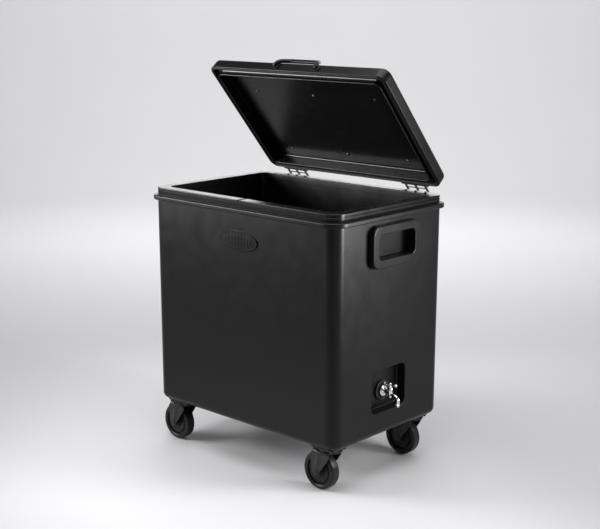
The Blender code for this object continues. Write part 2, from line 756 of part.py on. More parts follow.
def fork_mesh():
    crown_top = -2 * GAP - PLATE_SKIN
    fork = add_object("caster_fork", cylinder("caster_fork", CROWN_RADIUS, (0, 0, CROWN_BASE),
                      (0, 0, crown_top)), None, TOOLS)
    half = LEG_INNER + LEG_SKIN / 2
    axle_z = axle_height()
    outside = half + LEG_SKIN + PAST
    join(fork, box("fork_bridge", (LEG_REAR + LEG_CHAMFER + GAP, -half, CROWN_BASE + GAP),
                   (LEG_FRONT - GAP, half, LEG_TOP_Z - GAP)),
         leg_mesh(-1), leg_mesh(1))
    cut(fork, cylinder("crown_hole", KINGPIN_RADIUS + GAP, (0, 0, CROWN_BASE - PAST), (0, 0, PAST),
                       FINE_STEPS),
        cylinder("axle_hole", AXLE_RADIUS + GAP, (-TRAIL, -outside, axle_z), (-TRAIL, outside, axle_z),
                 FINE_STEPS))
    return baked(fork)


def axle_mesh():
    """A bolt through the fork, with its head at -Y and its nut at +Y."""
    outer = LEG_INNER + LEG_SKIN + GAP
    end = outer + AXLE_HEAD_HEIGHT
    axle = add_object("caster_axle", cylinder("caster_axle", AXLE_RADIUS, (0, -outer - BITE, 0),
                      (0, outer + BITE, 0), FINE_STEPS), None, TOOLS)
    join(axle, cylinder("axle_head", AXLE_HEAD_RADIUS, (0, -end, 0), (0, -outer, 0), HEX),
         cylinder("axle_nut", AXLE_HEAD_RADIUS, (0, outer, 0), (0, end, 0), HEX))
    return baked(axle)


def tyre_mesh():
    inner = HUB_RADIUS + GAP
    half = WHEEL_WIDTH / 2
    flat = WHEEL_RADIUS - TYRE_SHOULDER
    profile = [(inner, -half), (flat, -half)]
    for step in range(1, TYRE_EDGE_STEPS + 1):
        angle = math.radians(90 * step / TYRE_EDGE_STEPS)
        profile.append((flat + TYRE_SHOULDER * math.sin(angle),
                        -half + TYRE_SHOULDER * (1 - math.cos(angle))))
    return turned("wheel_tyre", mirrored_profile(profile), WHEEL_STEPS)


def hub_mesh():
    half = HUB_WIDTH / 2
    flange_face = WHEEL_WIDTH / 2 - HUB_FLANGE_SINK
    inner = HUB_RADIUS - HUB_FLANGE
    side = [(AXLE_RADIUS + GAP, -half), (HUB_BOSS_RADIUS, -half), (HUB_BOSS_RADIUS, -HUB_WEB),
            (inner, -HUB_WEB), (inner, -flange_face), (HUB_RADIUS, -flange_face)]
    return turned("wheel_hub", mirrored_profile(side), WHEEL_STEPS)


def mirrored_profile(half):
    return half + [(radius, -y) for radius, y in reversed(half)]


def build_body_hinges():
    wall = BODY_DEPTH / 2 + GAP
    face = wall + LEAF_SKIN
    for label, side in (("left", -1), ("right", 1)):
        middle = side * HINGE_X
        leaf = add_object(f"hinge_body_leaf_{label}",
                          box(f"hinge_body_leaf_{label}",
                              (middle - HINGE_WIDTH / 2, wall, BODY_LEAF_TOP - BODY_LEAF_HEIGHT),
                              (middle + HINGE_WIDTH / 2, face, BODY_LEAF_TOP)), dark_steel())
        for offset in (-BODY_KNUCKLE_X, BODY_KNUCKLE_X):
            low = middle + offset - BODY_KNUCKLE_WIDTH / 2
            high = low + BODY_KNUCKLE_WIDTH
            join(leaf, box("knuckle_arm", (low, wall + GAP, BODY_LEAF_TOP - 2 * LEAF_SKIN),
                           (high, PIN_Y, PIN_Z)),
                 cylinder("knuckle", KNUCKLE_RADIUS, (low, PIN_Y, PIN_Z), (high, PIN_Y, PIN_Z), FINE_STEPS))
        cut(leaf, pin_hole(middle))
        for count, x in enumerate(leaf_screw_places(side), 1):
            cut(leaf, cylinder("screw_hole", SCREW_HOLE_RADIUS, (x, wall - PAST, BODY_SCREW_Z),
                               (x, face + PAST, BODY_SCREW_Z), HOLE_STEPS))
            add_object(f"hinge_body_screw_{label}_{count}",
                       screw_mesh((x, face + GAP, BODY_SCREW_Z), (0, 1, 0), LEAF_SCREW_LENGTH),
                       screw_steel())
        reach = HINGE_WIDTH / 2 - 2 * BITE
        pin = add_object(f"hinge_pin_{label}",
                         cylinder(f"hinge_pin_{label}", PIN_RADIUS, (middle - reach, PIN_Y, PIN_Z),
                                  (middle + reach, PIN_Y, PIN_Z), FINE_STEPS), screw_steel())
        join(pin, *[cylinder("pin_head", PIN_HEAD_RADIUS, (middle + end * (reach - BITE), PIN_Y, PIN_Z),
                             (middle + end * (reach + BITE), PIN_Y, PIN_Z), FINE_STEPS)
                    for end in (-1, 1)])


def pin_hole(middle):
    return cylinder("pin_hole", PIN_RADIUS + GAP, (middle - HINGE_WIDTH, PIN_Y, PIN_Z),
                    (middle + HINGE_WIDTH, PIN_Y, PIN_Z), FINE_STEPS)


def screw_mesh(seat, outward, length):
    """A pan-head screw: the head stands outward from its seat, the shank runs the other way."""
    seat = Vector(seat)
    outward = Vector(outward)
    screw = add_object("screw", cylinder("screw", SCREW_RADIUS, seat - outward * length,
                       seat + outward * SCREW_HEAD_HEIGHT / 2, HOLE_STEPS), None, TOOLS)
    join(screw, cylinder("screw_head", SCREW_HEAD_RADIUS, seat, seat + outward * SCREW_HEAD_HEIGHT,
                         FINE_STEPS, SCREW_HEAD_RADIUS * 0.7))
    return baked(screw)


def lid_piece(name, mesh, finish, hinge):
    piece = add_object(name, mesh, finish)
    hang(piece, hinge)
    return piece


def build_lid():
    hinge = empty("lid_hinge_axis", (0.0, PIN_Y, PIN_Z))
    hinge.rotation_euler.x = -LID_OPEN_ANGLE
    build_lid_shell(hinge)
    build_lid_liner(hinge)
    build_lid_gasket(hinge)
    build_lid_handle(hinge)
    build_lid_leaves(hinge)


def build_lid_shell(hinge):
    lid_top = LID_BASE + LID_HEIGHT
    shell = lid_piece("lid_shell", rounded_box("lid_shell", LID_WIDTH, LID_DEPTH, LID_BASE, lid_top,
                      LID_CORNER, top_round=LID_EDGE_RADIUS), shell_plastic(), hinge)
    cut(shell, rounded_box("lid_hollow", LID_WIDTH - 2 * LID_WALL, LID_DEPTH - 2 * LID_WALL,
                           LID_BASE - PAST, lid_top - LID_WALL, LID_CORNER - LID_WALL,
                           top_round=LID_EDGE_RADIUS - LID_WALL))
    edge = LID_DEPTH / 2
    for x in (HANDLE_X - HANDLE_FOOT_SPAN / 2, HANDLE_X + HANDLE_FOOT_SPAN / 2):
        cut(shell, cylinder("rivet_hole", RIVET_RADIUS + GAP, (x, -edge - PAST, HANDLE_FOOT_Z),
                            (x, -edge + LID_WALL + PAST, HANDLE_FOOT_Z), HOLE_STEPS))
    for side in (-1, 1):
        for x in leaf_screw_places(side):
            cut(shell, cylinder("leaf_hole", SCREW_HOLE_RADIUS, (x, edge - LID_WALL - PAST, LID_SCREW_Z),
                                (x, edge + PAST, LID_SCREW_Z), HOLE_STEPS))


def lip_size(grow):
    return LID_WIDTH - 2 * (LIP_INSET - grow), LID_DEPTH - 2 * (LIP_INSET - grow)


def build_lid_liner(hinge):
    """The inner pan: a flat land inside the skirt, a dropped lip, and the ceiling."""
    slack = LID_WALL + GAP
    lip_base = RIM_TOP - LIP_DROP
    land = rounded_box("lid_liner", LID_WIDTH - 2 * slack, LID_DEPTH - 2 * slack, LAND_BASE,
                       LAND_BASE + LAND_SKIN, LID_CORNER - slack)
    liner = lid_piece("lid_liner", land, tank_plastic(), hinge)
    join(liner, rounded_box("lid_pan", *lip_size(LIP_WALL), lip_base, PAN_CEILING + PAN_SKIN,
                            LIP_CORNER + LIP_WALL, top_round=PAN_ROUND + PAN_SKIN))
    cut(liner, rounded_box("pan_hollow", *lip_size(0.0), lip_base - PAST, PAN_CEILING,
                           LIP_CORNER, top_round=PAN_ROUND))
    for count, (x, y) in enumerate(liner_screw_places(), 1):
        cut(liner, cylinder("liner_hole", SCREW_HOLE_RADIUS, (x, y, PAN_CEILING - PAST),
                            (x, y, PAN_CEILING + PAN_SKIN + PAST), HOLE_STEPS))
        lid_piece(f"lid_liner_screw_{count}",
                  screw_mesh((x, y, PAN_CEILING - GAP), (0, 0, -1), LINER_SCREW_LENGTH),
                  screw_steel(), hinge)


def liner_screw_places():
    return [(x, y) for x in LINER_SCREW_COLUMNS for y in LINER_SCREW_ROWS]


def build_lid_gasket(hinge):
    outer = LID_WALL + 2 * GAP
    inner = outer + GASKET_WIDTH
    base = RIM_TOP + GAP
    top = LAND_BASE - GAP
    gasket = lid_piece("lid_gasket", rounded_box("lid_gasket", LID_WIDTH - 2 * outer,
                       LID_DEPTH - 2 * outer, base, top, LID_CORNER - outer), soft_rubber(), hinge)
    cut(gasket, rounded_box("gasket_hole", LID_WIDTH - 2 * inner, LID_DEPTH - 2 * inner,
                            base - PAST, top + PAST, LID_CORNER - inner))


def build_lid_handle(hinge):
    """A bent bar: square off the skirt, up over the lid's edge, then straight across above it."""
    face = -LID_DEPTH / 2 - GAP
    foot = HANDLE_FOOT_SPAN / 2
    bar = HANDLE_SPAN / 2
    out = -LID_DEPTH / 2 - HANDLE_OUT
    rise = HANDLE_BAR_Z - HANDLE_FOOT_Z
    bend = HANDLE_RADIUS / 2
    step = (foot - bar) / 2
    half_route = [(-foot, face - bend, HANDLE_FOOT_Z), (-foot, face - HANDLE_SQUARE, HANDLE_FOOT_Z),
                  (-foot + bend, face - HANDLE_SQUARE, HANDLE_FOOT_Z + rise / 4),
                  (-foot + step, face - HANDLE_SQUARE + bend, HANDLE_FOOT_Z + rise * 0.7),
                  (-bar - bend, out - bend, HANDLE_BAR_Z - bend),
                  (-bar + bend, out, HANDLE_BAR_Z)]
    route = half_route + [(-x, y, z) for x, y, z in reversed(half_route)]
    route = [(HANDLE_X + x, y, z) for x, y, z in route]
    handle = lid_piece("lid_handle", tube("lid_handle", route, HANDLE_RADIUS, False), trim_plastic(), hinge)
    inside = -LID_DEPTH / 2 + LID_WALL
    for x in (HANDLE_X - foot, HANDLE_X + foot):
        low = (x - HANDLE_PAD[0] / 2, face - HANDLE_PAD[1], HANDLE_FOOT_Z - HANDLE_PAD[2] / 2)
        high = (x + HANDLE_PAD[0] / 2, face, HANDLE_FOOT_Z + HANDLE_PAD[2] / 2)
        join(handle, box("handle_pad", low, high),
             cylinder("handle_rivet", RIVET_RADIUS, (x, face - BITE, HANDLE_FOOT_Z),
                      (x, inside + BITE, HANDLE_FOOT_Z), HOLE_STEPS),
             cylinder("rivet_tail", RIVET_RADIUS * 2, (x, inside + GAP, HANDLE_FOOT_Z),
                      (x, inside + 2 * BITE, HANDLE_FOOT_Z), FINE_STEPS, RIVET_RADIUS * 1.4))


def build_lid_leaves(hinge):
    """Each leaf reaches back over the rim with three fingers, which drop to the pin."""
    face = LID_DEPTH / 2 + GAP
    base = RIM_TOP + 2 * GAP
    back = PIN_Y + LEAF_SKIN / 2
    slip = GAP / 2
    tie = (face + TIE_BACK, base + LEAF_SKIN / 2)
    for label, side in (("left", -1), ("right", 1)):
        middle = side * HINGE_X
        leaf = lid_piece(f"hinge_lid_leaf_{label}",
                         box(f"hinge_lid_leaf_{label}", (middle - HINGE_WIDTH / 2, face, base),
                             (middle + HINGE_WIDTH / 2, face + LEAF_SKIN, LID_LEAF_TOP)),
                         dark_steel(), hinge)
        for offset in (-FINGER_X, 0.0, FINGER_X):
            low = middle + offset - FINGER_WIDTH / 2
            high = low + FINGER_WIDTH
            join(leaf, box("finger_reach", (low, face + BITE, base + slip),
                           (high, back - slip, base + LEAF_SKIN)),
                 box("finger_drop", (low + slip, back - LEAF_SKIN, PIN_Z),
                     (high - slip, back, base + LEAF_SKIN - slip)),
                 cylinder("knuckle", KNUCKLE_RADIUS, (low - slip, PIN_Y, PIN_Z),
                          (high + slip, PIN_Y, PIN_Z), FINE_STEPS))
        join(leaf, cylinder("tie_rod", TIE_RADIUS, (middle - FINGER_X, *tie), (middle + FINGER_X, *tie),
                            HOLE_STEPS))
        cut(leaf, pin_hole(middle))
        for count, x in enumerate(leaf_screw_places(side), 1):
            cut(leaf, cylinder("screw_hole", SCREW_HOLE_RADIUS, (x, face - PAST, LID_SCREW_Z),
                               (x, face + LEAF_SKIN + PAST, LID_SCREW_Z), HOLE_STEPS))
            lid_piece(f"hinge_lid_screw_{label}_{count}",
                      screw_mesh((x, face + LEAF_SKIN + GAP, LID_SCREW_Z), (0, 1, 0), LEAF_SCREW_LENGTH),
                      screw_steel(), hinge)


clear_scene()
build_outer_shell()
build_inner_tub()
build_grips()
build_badge()
build_tap()
build_casters()
build_body_hinges()
build_lid()
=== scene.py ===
"""Looks of the portable waste tote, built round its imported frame.

Every piece takes its place and size from the frame's own nodes and rides on its
body. Lofts are stacks of outlines: a rounded rectangle, a circle or a hexagon.
Metres throughout, +Z up, -Y the front, +X the end with the tap.
"""
import json
from math import copysign, cos, pi, radians, sin, sqrt, tau

import bmesh
import bpy
from mathutils import Matrix, Vector


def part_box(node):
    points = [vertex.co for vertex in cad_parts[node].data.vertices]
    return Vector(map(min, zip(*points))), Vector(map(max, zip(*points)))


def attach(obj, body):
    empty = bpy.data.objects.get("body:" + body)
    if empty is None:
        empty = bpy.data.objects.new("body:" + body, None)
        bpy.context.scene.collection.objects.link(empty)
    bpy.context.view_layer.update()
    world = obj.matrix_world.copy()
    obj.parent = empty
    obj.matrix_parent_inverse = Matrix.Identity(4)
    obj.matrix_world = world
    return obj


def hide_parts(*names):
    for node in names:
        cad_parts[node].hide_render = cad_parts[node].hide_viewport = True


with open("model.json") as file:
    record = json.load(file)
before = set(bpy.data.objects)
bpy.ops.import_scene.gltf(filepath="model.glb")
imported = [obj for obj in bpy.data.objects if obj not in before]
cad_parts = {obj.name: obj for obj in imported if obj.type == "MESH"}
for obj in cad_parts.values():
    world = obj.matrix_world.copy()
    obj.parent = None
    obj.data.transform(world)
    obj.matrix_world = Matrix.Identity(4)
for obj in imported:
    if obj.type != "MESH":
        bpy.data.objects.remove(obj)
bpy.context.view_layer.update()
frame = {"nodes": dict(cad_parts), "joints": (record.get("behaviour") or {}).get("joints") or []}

# A hair: the gap, or the overlap, between two faces that would otherwise coincide
HAIR = 0.0003

# Camera
CAMERA_PLACE = Vector((1.7103, -1.8525, 0.8751))
CAMERA_AZIMUTH = radians(42.529)
CAMERA_PITCH = radians(12.531)
CAMERA_ROLL = radians(0.076)
CAMERA_LENS = 72.485
CAMERA_SENSOR = 36.0

# Tub mouldings
BODY_CORNER = 0.026
FOOT_RADIUS = 0.0156
SHELL_WALL = 0.0032
SHELL_DRAFT = 0.0037
FLANGE_HEIGHT = 0.0118
FLANGE_ROUND = 0.0022
FLANGE_FILLET = 0.0020
FLANGE_SLOPE = 0.0024
UNDER_PANEL = (0.170, 0.130)
UNDER_CORNER = 0.020
UNDER_GROOVE = (0.003, 0.0008)
RIM_WALL = 0.0234
RIM_ROUND = 0.0016
RIM_GROOVE = 0.0009
OPENING_CORNER = 0.016
TANK_WALL = 0.003
TANK_DRAFT = 0.0315
TANK_FOOT = 0.012
TANK_FLOOR = 0.0125
NOTCH_HALF = 0.004
NOTCH_DEPTH = 0.0017
TAP_HOLE_RADIUS = 0.0093

# Recess for the tap
RECESS_HALF = (0.054, 0.045)
RECESS_PLACE = (-0.003, 0.096)
RECESS_CORNER = 0.014
RECESS_FLARE = 0.0016
RECESS_FILLET = 0.003

# Grips
GRIP_CORNER = 0.020
GRIP_EDGE = 0.0034
CUP_HALF = (0.063, 0.031)
CUP_CORNER = 0.014
POCKET_HALF = (0.057, 0.0255)
POCKET_CORNER = 0.010
POCKET_DEPTH = 0.026
POCKET_EDGE = 0.0018
POCKET_FILLET = 0.0022

# Badge
BADGE_RIM = 0.0016
BADGE_RIBS = 9
BADGE_RIB_HALF = 0.0015

# Tap
WASHER_BORE = 0.0083
WASHER_ROUND = 0.0016
TAP_SHANK_RADIUS = 0.008
TAP_NECK_RADIUS = 0.0050
TAP_INLET_RADIUS = 0.0045
TAP_INLET_DEPTH = 0.022
COLUMN_FOOT_DROP = 0.0073
BEAD_RADIUS = 0.0046
BEAD_ROUND = 0.0012
SPOUT_FALL = (0.0035, 0.0105)
SPOUT_RADIUS = 0.0040
SPOUT_TAPER = 0.0004
SPOUT_STEPS = 16
SPOUT_END_RADIUS = 0.0037
SPOUT_BORE_RADIUS = 0.0030
NUT_CORNER_RADIUS = 0.0056
BAR_RADIUS = 0.0019
BALL_RADIUS = 0.0034
KNOB_RADIUS = 0.0040
STEM_RADIUS = 0.0026

# Lid
LID_CORNER = 0.020
LID_EDGE = 0.0104
LID_WALL = 0.003
LIP_INSET = 0.021
LIP_WALL = 0.003
LIP_CORNER = 0.010
PAN_SKIN = 0.0025
PAN_ROUND = 0.005
LAND_SKIN = 0.0027
CHANNEL_DEPTH = 0.0085
STRAP = (0.0040, 0.0036)
STRAP_CORNER = 0.0022
STRAP_BEND = 0.004
STRAP_STAND = 0.0055
STRAP_BACK = 0.0086
HANDLE_PAD = (0.008, 0.0065, 0.0032)
HANDLE_BAR_HALF = 0.040
HANDLE_PAD_CORNER = 0.004
HANDLE_BOSS_RADIUS = 0.0041
HANDLE_RIVET_RADIUS = 0.0025
SEAL_WIDTH = 0.004
LINER_HOLE_RADIUS = 0.0019

# Hinges and screws
FINGER_GAP = 0.026
FINGER_HALF = 0.0025
BODY_KNUCKLE_X = 0.013
BODY_KNUCKLE_HALF = 0.0097
KNUCKLE_RADIUS = 0.0042
PIN_RADIUS = 0.0022
TIE_RADIUS = 0.0012
TIE_BACK = 0.0115
PIN_HEAD = (0.0034, 0.002)
LEAF_SKIN = 0.003
LEAF_DROP = 0.0059
SCREW_SHANK = 0.0016
SCREW_HEAD = 0.0036
SCREW_HEAD_RISE = 0.0018
SCREW_SLOT_HALF = 0.0004
LEAF_SCREW_LENGTH = 0.0075
LINER_SCREW_LENGTH = 0.0042

# Casters
PLATE_CORNER = 0.007
PLATE_SKIN = 0.003
STUD_SPREAD = (0.022, 0.018)
STUD_RADIUS = 0.003
NUT_RADIUS = 0.0055
NUT_HEIGHT = 0.0042
KINGPIN_RADIUS = 0.005
KINGPIN_HEAD_RADIUS = 0.0085
RACE_RADIUS = 0.0235
TYRE_SHOULDER = 0.0052
TYRE_CROWN = 0.0008
GROOVE_WIDTH = 0.0030
GROOVE_DEPTH = 0.0050
GROOVE_FROM_RIM = 0.0012
CHEEK_SKIN = 0.0026
CHEEK_FOLD = 0.0024
CHEEK_COLUMNS = 12
FORK_REAR = -0.0335
FORK_FRONT = 0.0165
FORK_BEND = 0.005
EYE_RADIUS = 0.009
CROWN_SHEET_Z = -0.0118
CROWN_TOP_Z = -0.0039
CROWN_FOOT_Z = -0.0136
CROWN_BORE = 0.0056
BOLT_HEAD = 0.0042
BOLT_CORNER_RADIUS = 0.0068

# Stage, and lamps by name, place, target, size, power in watts and spread in degrees
FLOOR_RADIUS = 3.4
SWEEP_RADIUS = 1.5
WALL_HEIGHT = 3.4
SWEEP_STEPS = 96
SWEEP_ROUGHNESS = 0.6
SWEEP_SPECULAR = 0.25
WORLD_COLOUR = (0.95, 0.95, 0.96, 1)
WORLD_STRENGTH = 0.04
LAMPS = (
    ("overhead", (0.2, -0.2, 2.6), (0.2, -0.2, 0.2), (2.6, 2.6), 88, 180),
    ("front_left", (-0.95, -0.92, 0.68), (-0.05, -0.17, 0.62), (0.7, 0.4), 9.5, 100),
    ("right_end", (1.00, 0.30, 0.48), (0.26, -0.15, 0.40), (0.40, 0.45), 4.6, 80),
    ("back", (-1.5, 1.65, 1.0), (0.0, 0.0, 0.35), (2.2, 0.5), 3.0, 110),
    ("wall_wash", (-1.3, 1.5, 1.9), (-3.0, 3.4, 0.4), (2.8, 1.2), 88, 180),
)

CORNER_STEPS = 12
ARC_STEPS = 6
ROUND_STEPS = 48
SMALL_STEPS = 32
WHEEL_STEPS = 96
CASTERS = ("front_left", "rear_left", "front_right", "rear_right")
ENDS = ("left", "right")

joints = {joint["name"]: joint for joint in frame["joints"]}


def joint_place(name):
    return Vector(joints[name]["pos_m"])


# ---- materials ----

PLASTIC_SPECULAR = 0.22
RUBBER_SPECULAR = 0.28
NOISE_RANGE = (0.3, 0.7)
# Painted highlight on raised edges: the pointiness range it starts over, its brightness gain and its
# amount
EDGE_POINTINESS = (0.515, 0.60)
EDGE_GAIN = 2.2
EDGE_AMOUNT = 0.5


def add_object(name, data):
    made = bpy.data.objects.new(name, data)
    bpy.context.scene.collection.objects.link(made)
    return made


def add_node(tree, kind, **values):
    """A shader node with inputs set; an underscore stands for a space in an input's name."""
    made = tree.nodes.new(f"ShaderNode{kind}")
    for name, value in values.items():
        made.inputs[name.replace("_", " ")].default_value = value
    return made


def noise(tree, scale, detail=2.0, roughness=0.5):
    """Noise in object space, so its grain is a real size in metres."""
    made = add_node(tree, "TexNoise", Scale=scale, Detail=detail, Roughness=roughness)
    tree.links.new(add_node(tree, "TexCoord").outputs["Object"], made.inputs["Vector"])
    return made.outputs["Fac"]


def ranged(tree, value, low, high, source=NOISE_RANGE):
    """Stretches a value's source range to run from low to high."""
    made = add_node(tree, "MapRange", From_Min=source[0], From_Max=source[1], To_Min=low, To_Max=high)
    tree.links.new(value, made.inputs["Value"])
    return made.outputs["Result"]


def mixed(tree, factor, dark, light):
    """A node that blends two colours by a factor."""
    made = tree.nodes.new("ShaderNodeMix")
    made.data_type = "RGBA"
    made.inputs["A"].default_value = (*dark, 1)
    made.inputs["B"].default_value = (*light, 1)
    tree.links.new(factor, made.inputs["Factor"])
    return made


def bumped(tree, shader, *layers):
    """Stacks (height, distance, strength) layers of bump onto a shader."""
    previous = None
    for height, distance, strength in layers:
        bump = add_node(tree, "Bump", Distance=distance, Strength=strength)
        tree.links.new(height, bump.inputs["Height"])
        if previous is not None:
            tree.links.new(previous, bump.inputs["Normal"])
        previous = bump.outputs["Normal"]
    tree.links.new(previous, shader.inputs["Normal"])


def painted_edge_highlight(tree, colour, light, amount):
    """Lightens raised edges a little: a painted highlight along them."""
    pointiness = add_node(tree, "NewGeometry").outputs["Pointiness"]
    mix = mixed(tree, ranged(tree, pointiness, 0.0, amount, EDGE_POINTINESS), light, light)
    tree.links.new(colour, mix.inputs["A"])
    return mix.outputs["Result"]


def blank_material(name):
    made = bpy.data.materials.new(name)
    made.use_nodes = True
    return made, made.node_tree, made.node_tree.nodes["Principled BSDF"]


def new_material(name, dark, light, rough, patches, gloss, specular=0.5):
    """A surface whose colour and roughness vary; patches and gloss are the noise scale and detail."""
    made, tree, shader = blank_material(name)
    colour = mixed(tree, noise(tree, *patches), dark, light).outputs["Result"]
    tree.links.new(colour, shader.inputs["Base Color"])
    tree.links.new(ranged(tree, noise(tree, *gloss), *rough), shader.inputs["Roughness"])
    shader.inputs["Specular IOR Level"].default_value = specular
    return made, tree, shader, colour


def moulded_plastic(name, dark, light, rough, grain, depth, wave=0.0006):
    """Black moulded plastic: fine spark texture, patches of gloss, a slight wave in the wall."""
    made, tree, shader, colour = new_material(name, dark, light, rough, (9.0, 4.0), (30.0, 3.0),
                                              PLASTIC_SPECULAR)
    # Painted highlight: raised edges, picked out by pointiness, are lightened
    edge_highlighted = painted_edge_highlight(tree, colour, tuple(EDGE_GAIN * channel for channel in light), EDGE_AMOUNT)
    tree.links.new(edge_highlighted, shader.inputs["Base Color"])
    bumped(tree, shader, (noise(tree, 5.0, 1.0), wave, 0.5), (noise(tree, grain, 3.0, 0.6), depth, 0.5))
    return made


def rubber(name, dark, light, rough, grain, depth):
    made, tree, shader, _ = new_material(name, dark, light, rough, (40.0, 4.0), (90.0, 2.0),
                                         RUBBER_SPECULAR)
    bumped(tree, shader, (noise(tree, grain, 2.0), depth, 0.6))
    return made


def metal(name, dark, light, rough, metallic, grain, depth):
    made, tree, shader, _ = new_material(name, dark, light, rough, (60.0, 3.0), (120.0, 2.0))
    shader.inputs["Metallic"].default_value = metallic
    bumped(tree, shader, (noise(tree, grain, 2.0), depth, 0.4))
    return made


def grey(value):
    return (value, value, value * 1.02)


SWEEP_GREYS = (grey(0.59), grey(0.62))
FINISHES = {
    "shell_plastic": moulded_plastic("black_moulded_shell", grey(0.0025), grey(0.004),
                                     (0.30, 0.36), 1400, 0.00006),
    "tank_plastic": moulded_plastic("black_tank", grey(0.0032), grey(0.0045),
                                    (0.22, 0.28), 1700, 0.00004, 0.0002),
    "trim_plastic": moulded_plastic("black_trim", grey(0.0035), grey(0.005),
                                    (0.28, 0.34), 1500, 0.00005, 0.0002),
    "soft_rubber": rubber("gasket_rubber", grey(0.005), grey(0.008), (0.55, 0.70), 1100, 0.0001),
    "tyre_rubber": rubber("tyre_rubber", grey(0.006), grey(0.010), (0.30, 0.42), 900, 0.00012),
    "hub_plastic": moulded_plastic("black_hub", grey(0.005), grey(0.007),
                                   (0.28, 0.38), 1600, 0.00006, 0.0001),
    "bright_chrome": metal("polished_chrome", (0.78, 0.79, 0.80), (0.86, 0.87, 0.88),
                           (0.04, 0.10), 1.0, 300, 0.00002),
    "dark_steel": metal("black_coated_steel", grey(0.005), grey(0.008), (0.34, 0.44), 0.10, 900, 0.00006),
    "screw_steel": metal("black_zinc_screws", grey(0.14), grey(0.22), (0.24, 0.34), 1.0, 700, 0.00006),
}


# ---- outlines and lofts ----

SMALLEST_CORNER = 0.0004
SOFT_EDGE = 0.0005
SHARP_ANGLE = radians(32)


def rectangle(half_x, half_y, corner, z, steps=CORNER_STEPS):
    """A rounded rectangle at a height, anticlockwise from +X +Y."""
    corner = max(corner, SMALLEST_CORNER)
    ring = []
    for quarter, (side_x, side_y) in enumerate(((1, 1), (-1, 1), (-1, -1), (1, -1))):
        for step in range(steps + 1):
            angle = radians(90 * (quarter + step / steps))
            ring.append(Vector((side_x * (half_x - corner) + corner * cos(angle),
                                side_y * (half_y - corner) + corner * sin(angle), z)))
    return ring


def around(steps):
    return [tau * step / steps for step in range(steps)]


def circle(radius, z, steps=ROUND_STEPS):
    return [Vector((radius * cos(a), radius * sin(a), z)) for a in around(steps)]


def hexagon(radius, z):
    """A hexagon with as many points as a small circle, so both stack in one loft."""
    ring = []
    for angle in around(SMALL_STEPS):
        off_flat = (angle % radians(60)) - radians(30)
        reach = radius * cos(radians(30)) / cos(off_flat)
        ring.append(Vector((reach * cos(angle), reach * sin(angle), z)))
    return ring


def arc(centre, radius, start, end, steps=ARC_STEPS):
    """Points of a round edge in a profile, from one angle to another in degrees."""
    points = []
    for step in range(steps + 1):
        angle = radians(start + (end - start) * step / steps)
        points.append((centre[0] + radius * cos(angle), centre[1] + radius * sin(angle)))
    return points


def stack(profile, half, corner, steps=CORNER_STEPS):
    """Rounded rectangles grown by each profile point's offset, at its height."""
    return [rectangle(half[0] + offset, half[1] + offset, corner + offset, z, steps)
            for offset, z in profile]


def slab(profile, half, corner, steps=CORNER_STEPS, closed=False):
    return loft(stack(profile, half, corner, steps), closed)


def rounds(profile, steps=ROUND_STEPS):
    return [circle(radius, z, steps) for radius, z in profile]


def small_rounds(profile):
    return rounds(profile, SMALL_STEPS)


def lathe(profile):
    """A small turned solid from (radius, height) points."""
    return loft(small_rounds(profile))


def add_rows(bm, rings):
    return [[bm.verts.new(point) for point in ring] for ring in rings]


def add_sides(bm, pairs):
    """Joins each pair of rings by a band of faces."""
    for low, high in pairs:
        count = len(low)
        for here in range(count):
            after = (here + 1) % count
            bm.faces.new((low[here], low[after], high[after], high[here]))


def loft(rings, closed=False, last_cap=True):
    """A mesh through a stack of rings, capped at its ends unless it closes on itself."""
    bm = bmesh.new()
    rows = add_rows(bm, rings)
    pairs = list(zip(rows, rows[1:]))
    if closed:
        pairs.append((rows[-1], rows[0]))
    else:
        bm.faces.new(rows[0])
        if last_cap:
            bm.faces.new(rows[-1])
    add_sides(bm, pairs)
    return to_mesh(bm)


def to_mesh(bm):
    bmesh.ops.recalc_face_normals(bm, faces=bm.faces)
    mesh = bpy.data.meshes.new("part")
    bm.to_mesh(mesh)
    bm.free()
    return mesh


def moved(mesh, place=(0, 0, 0), turn=None):
    if turn is not None:
        mesh.transform(turn)
    mesh.transform(Matrix.Translation(place))
    return mesh


# Turns that lay a loft's +Z along +X, along +Y, along -Y, or upside down
ALONG_X = Matrix(((0, 0, 1, 0), (1, 0, 0, 0), (0, 1, 0, 0), (0, 0, 0, 1)))
ALONG_Y = Matrix.Rotation(radians(-90), 4, "X")
TO_FRONT = Matrix.Rotation(radians(90), 4, "X")
UPSIDE_DOWN = Matrix.Rotation(pi, 4, "X")
HALF_TURN = Matrix.Rotation(pi, 4, "Z")


def block(low, high, round_edge=SOFT_EDGE):
    """A box between two corners, with rounded edges unless round_edge is 0."""
    bm = bmesh.new()
    bmesh.ops.create_cube(bm, size=1.0)
    size = Vector(high) - Vector(low)
    bmesh.ops.scale(bm, vec=size, verts=bm.verts)
    bmesh.ops.translate(bm, vec=(Vector(low) + Vector(high)) / 2, verts=bm.verts)
    if round_edge > 0:
        width = min(round_edge, min(size) * 0.3)
        bmesh.ops.bevel(bm, geom=list(bm.edges), offset=width, segments=2, profile=0.5, affect="EDGES")
    return to_mesh(bm)


def rod(radius, start, end, edge=0.0004):
    """A round bar from start to end with rounded rims."""
    start = Vector(start)
    along = Vector(end) - start
    length = along.length
    profile = [(radius - edge, 0.0), (radius, edge), (radius, length - edge), (radius - edge, length)]
    turn = along.to_track_quat("Z", "Y").to_matrix().to_4x4()
    return moved(lathe(profile), start, turn)


def tangent_at(path, here):
    """The direction of a path at one of its points, from its neighbours."""
    before = path[max(here - 1, 0)]
    after = path[min(here + 1, len(path) - 1)]
    return (after - before).normalized()


def sweep(path, section, up):
    """Runs a flat outline along a path, square to it, with the outline's Y nearest to up."""
    rings = []
    for here, point in enumerate(path):
        tangent = tangent_at(path, here)
        across = tangent.cross(up).normalized()
        lift = across.cross(tangent)
        rings.append([point + across * u + lift * v for u, v, _ in section])
    return loft(rings)


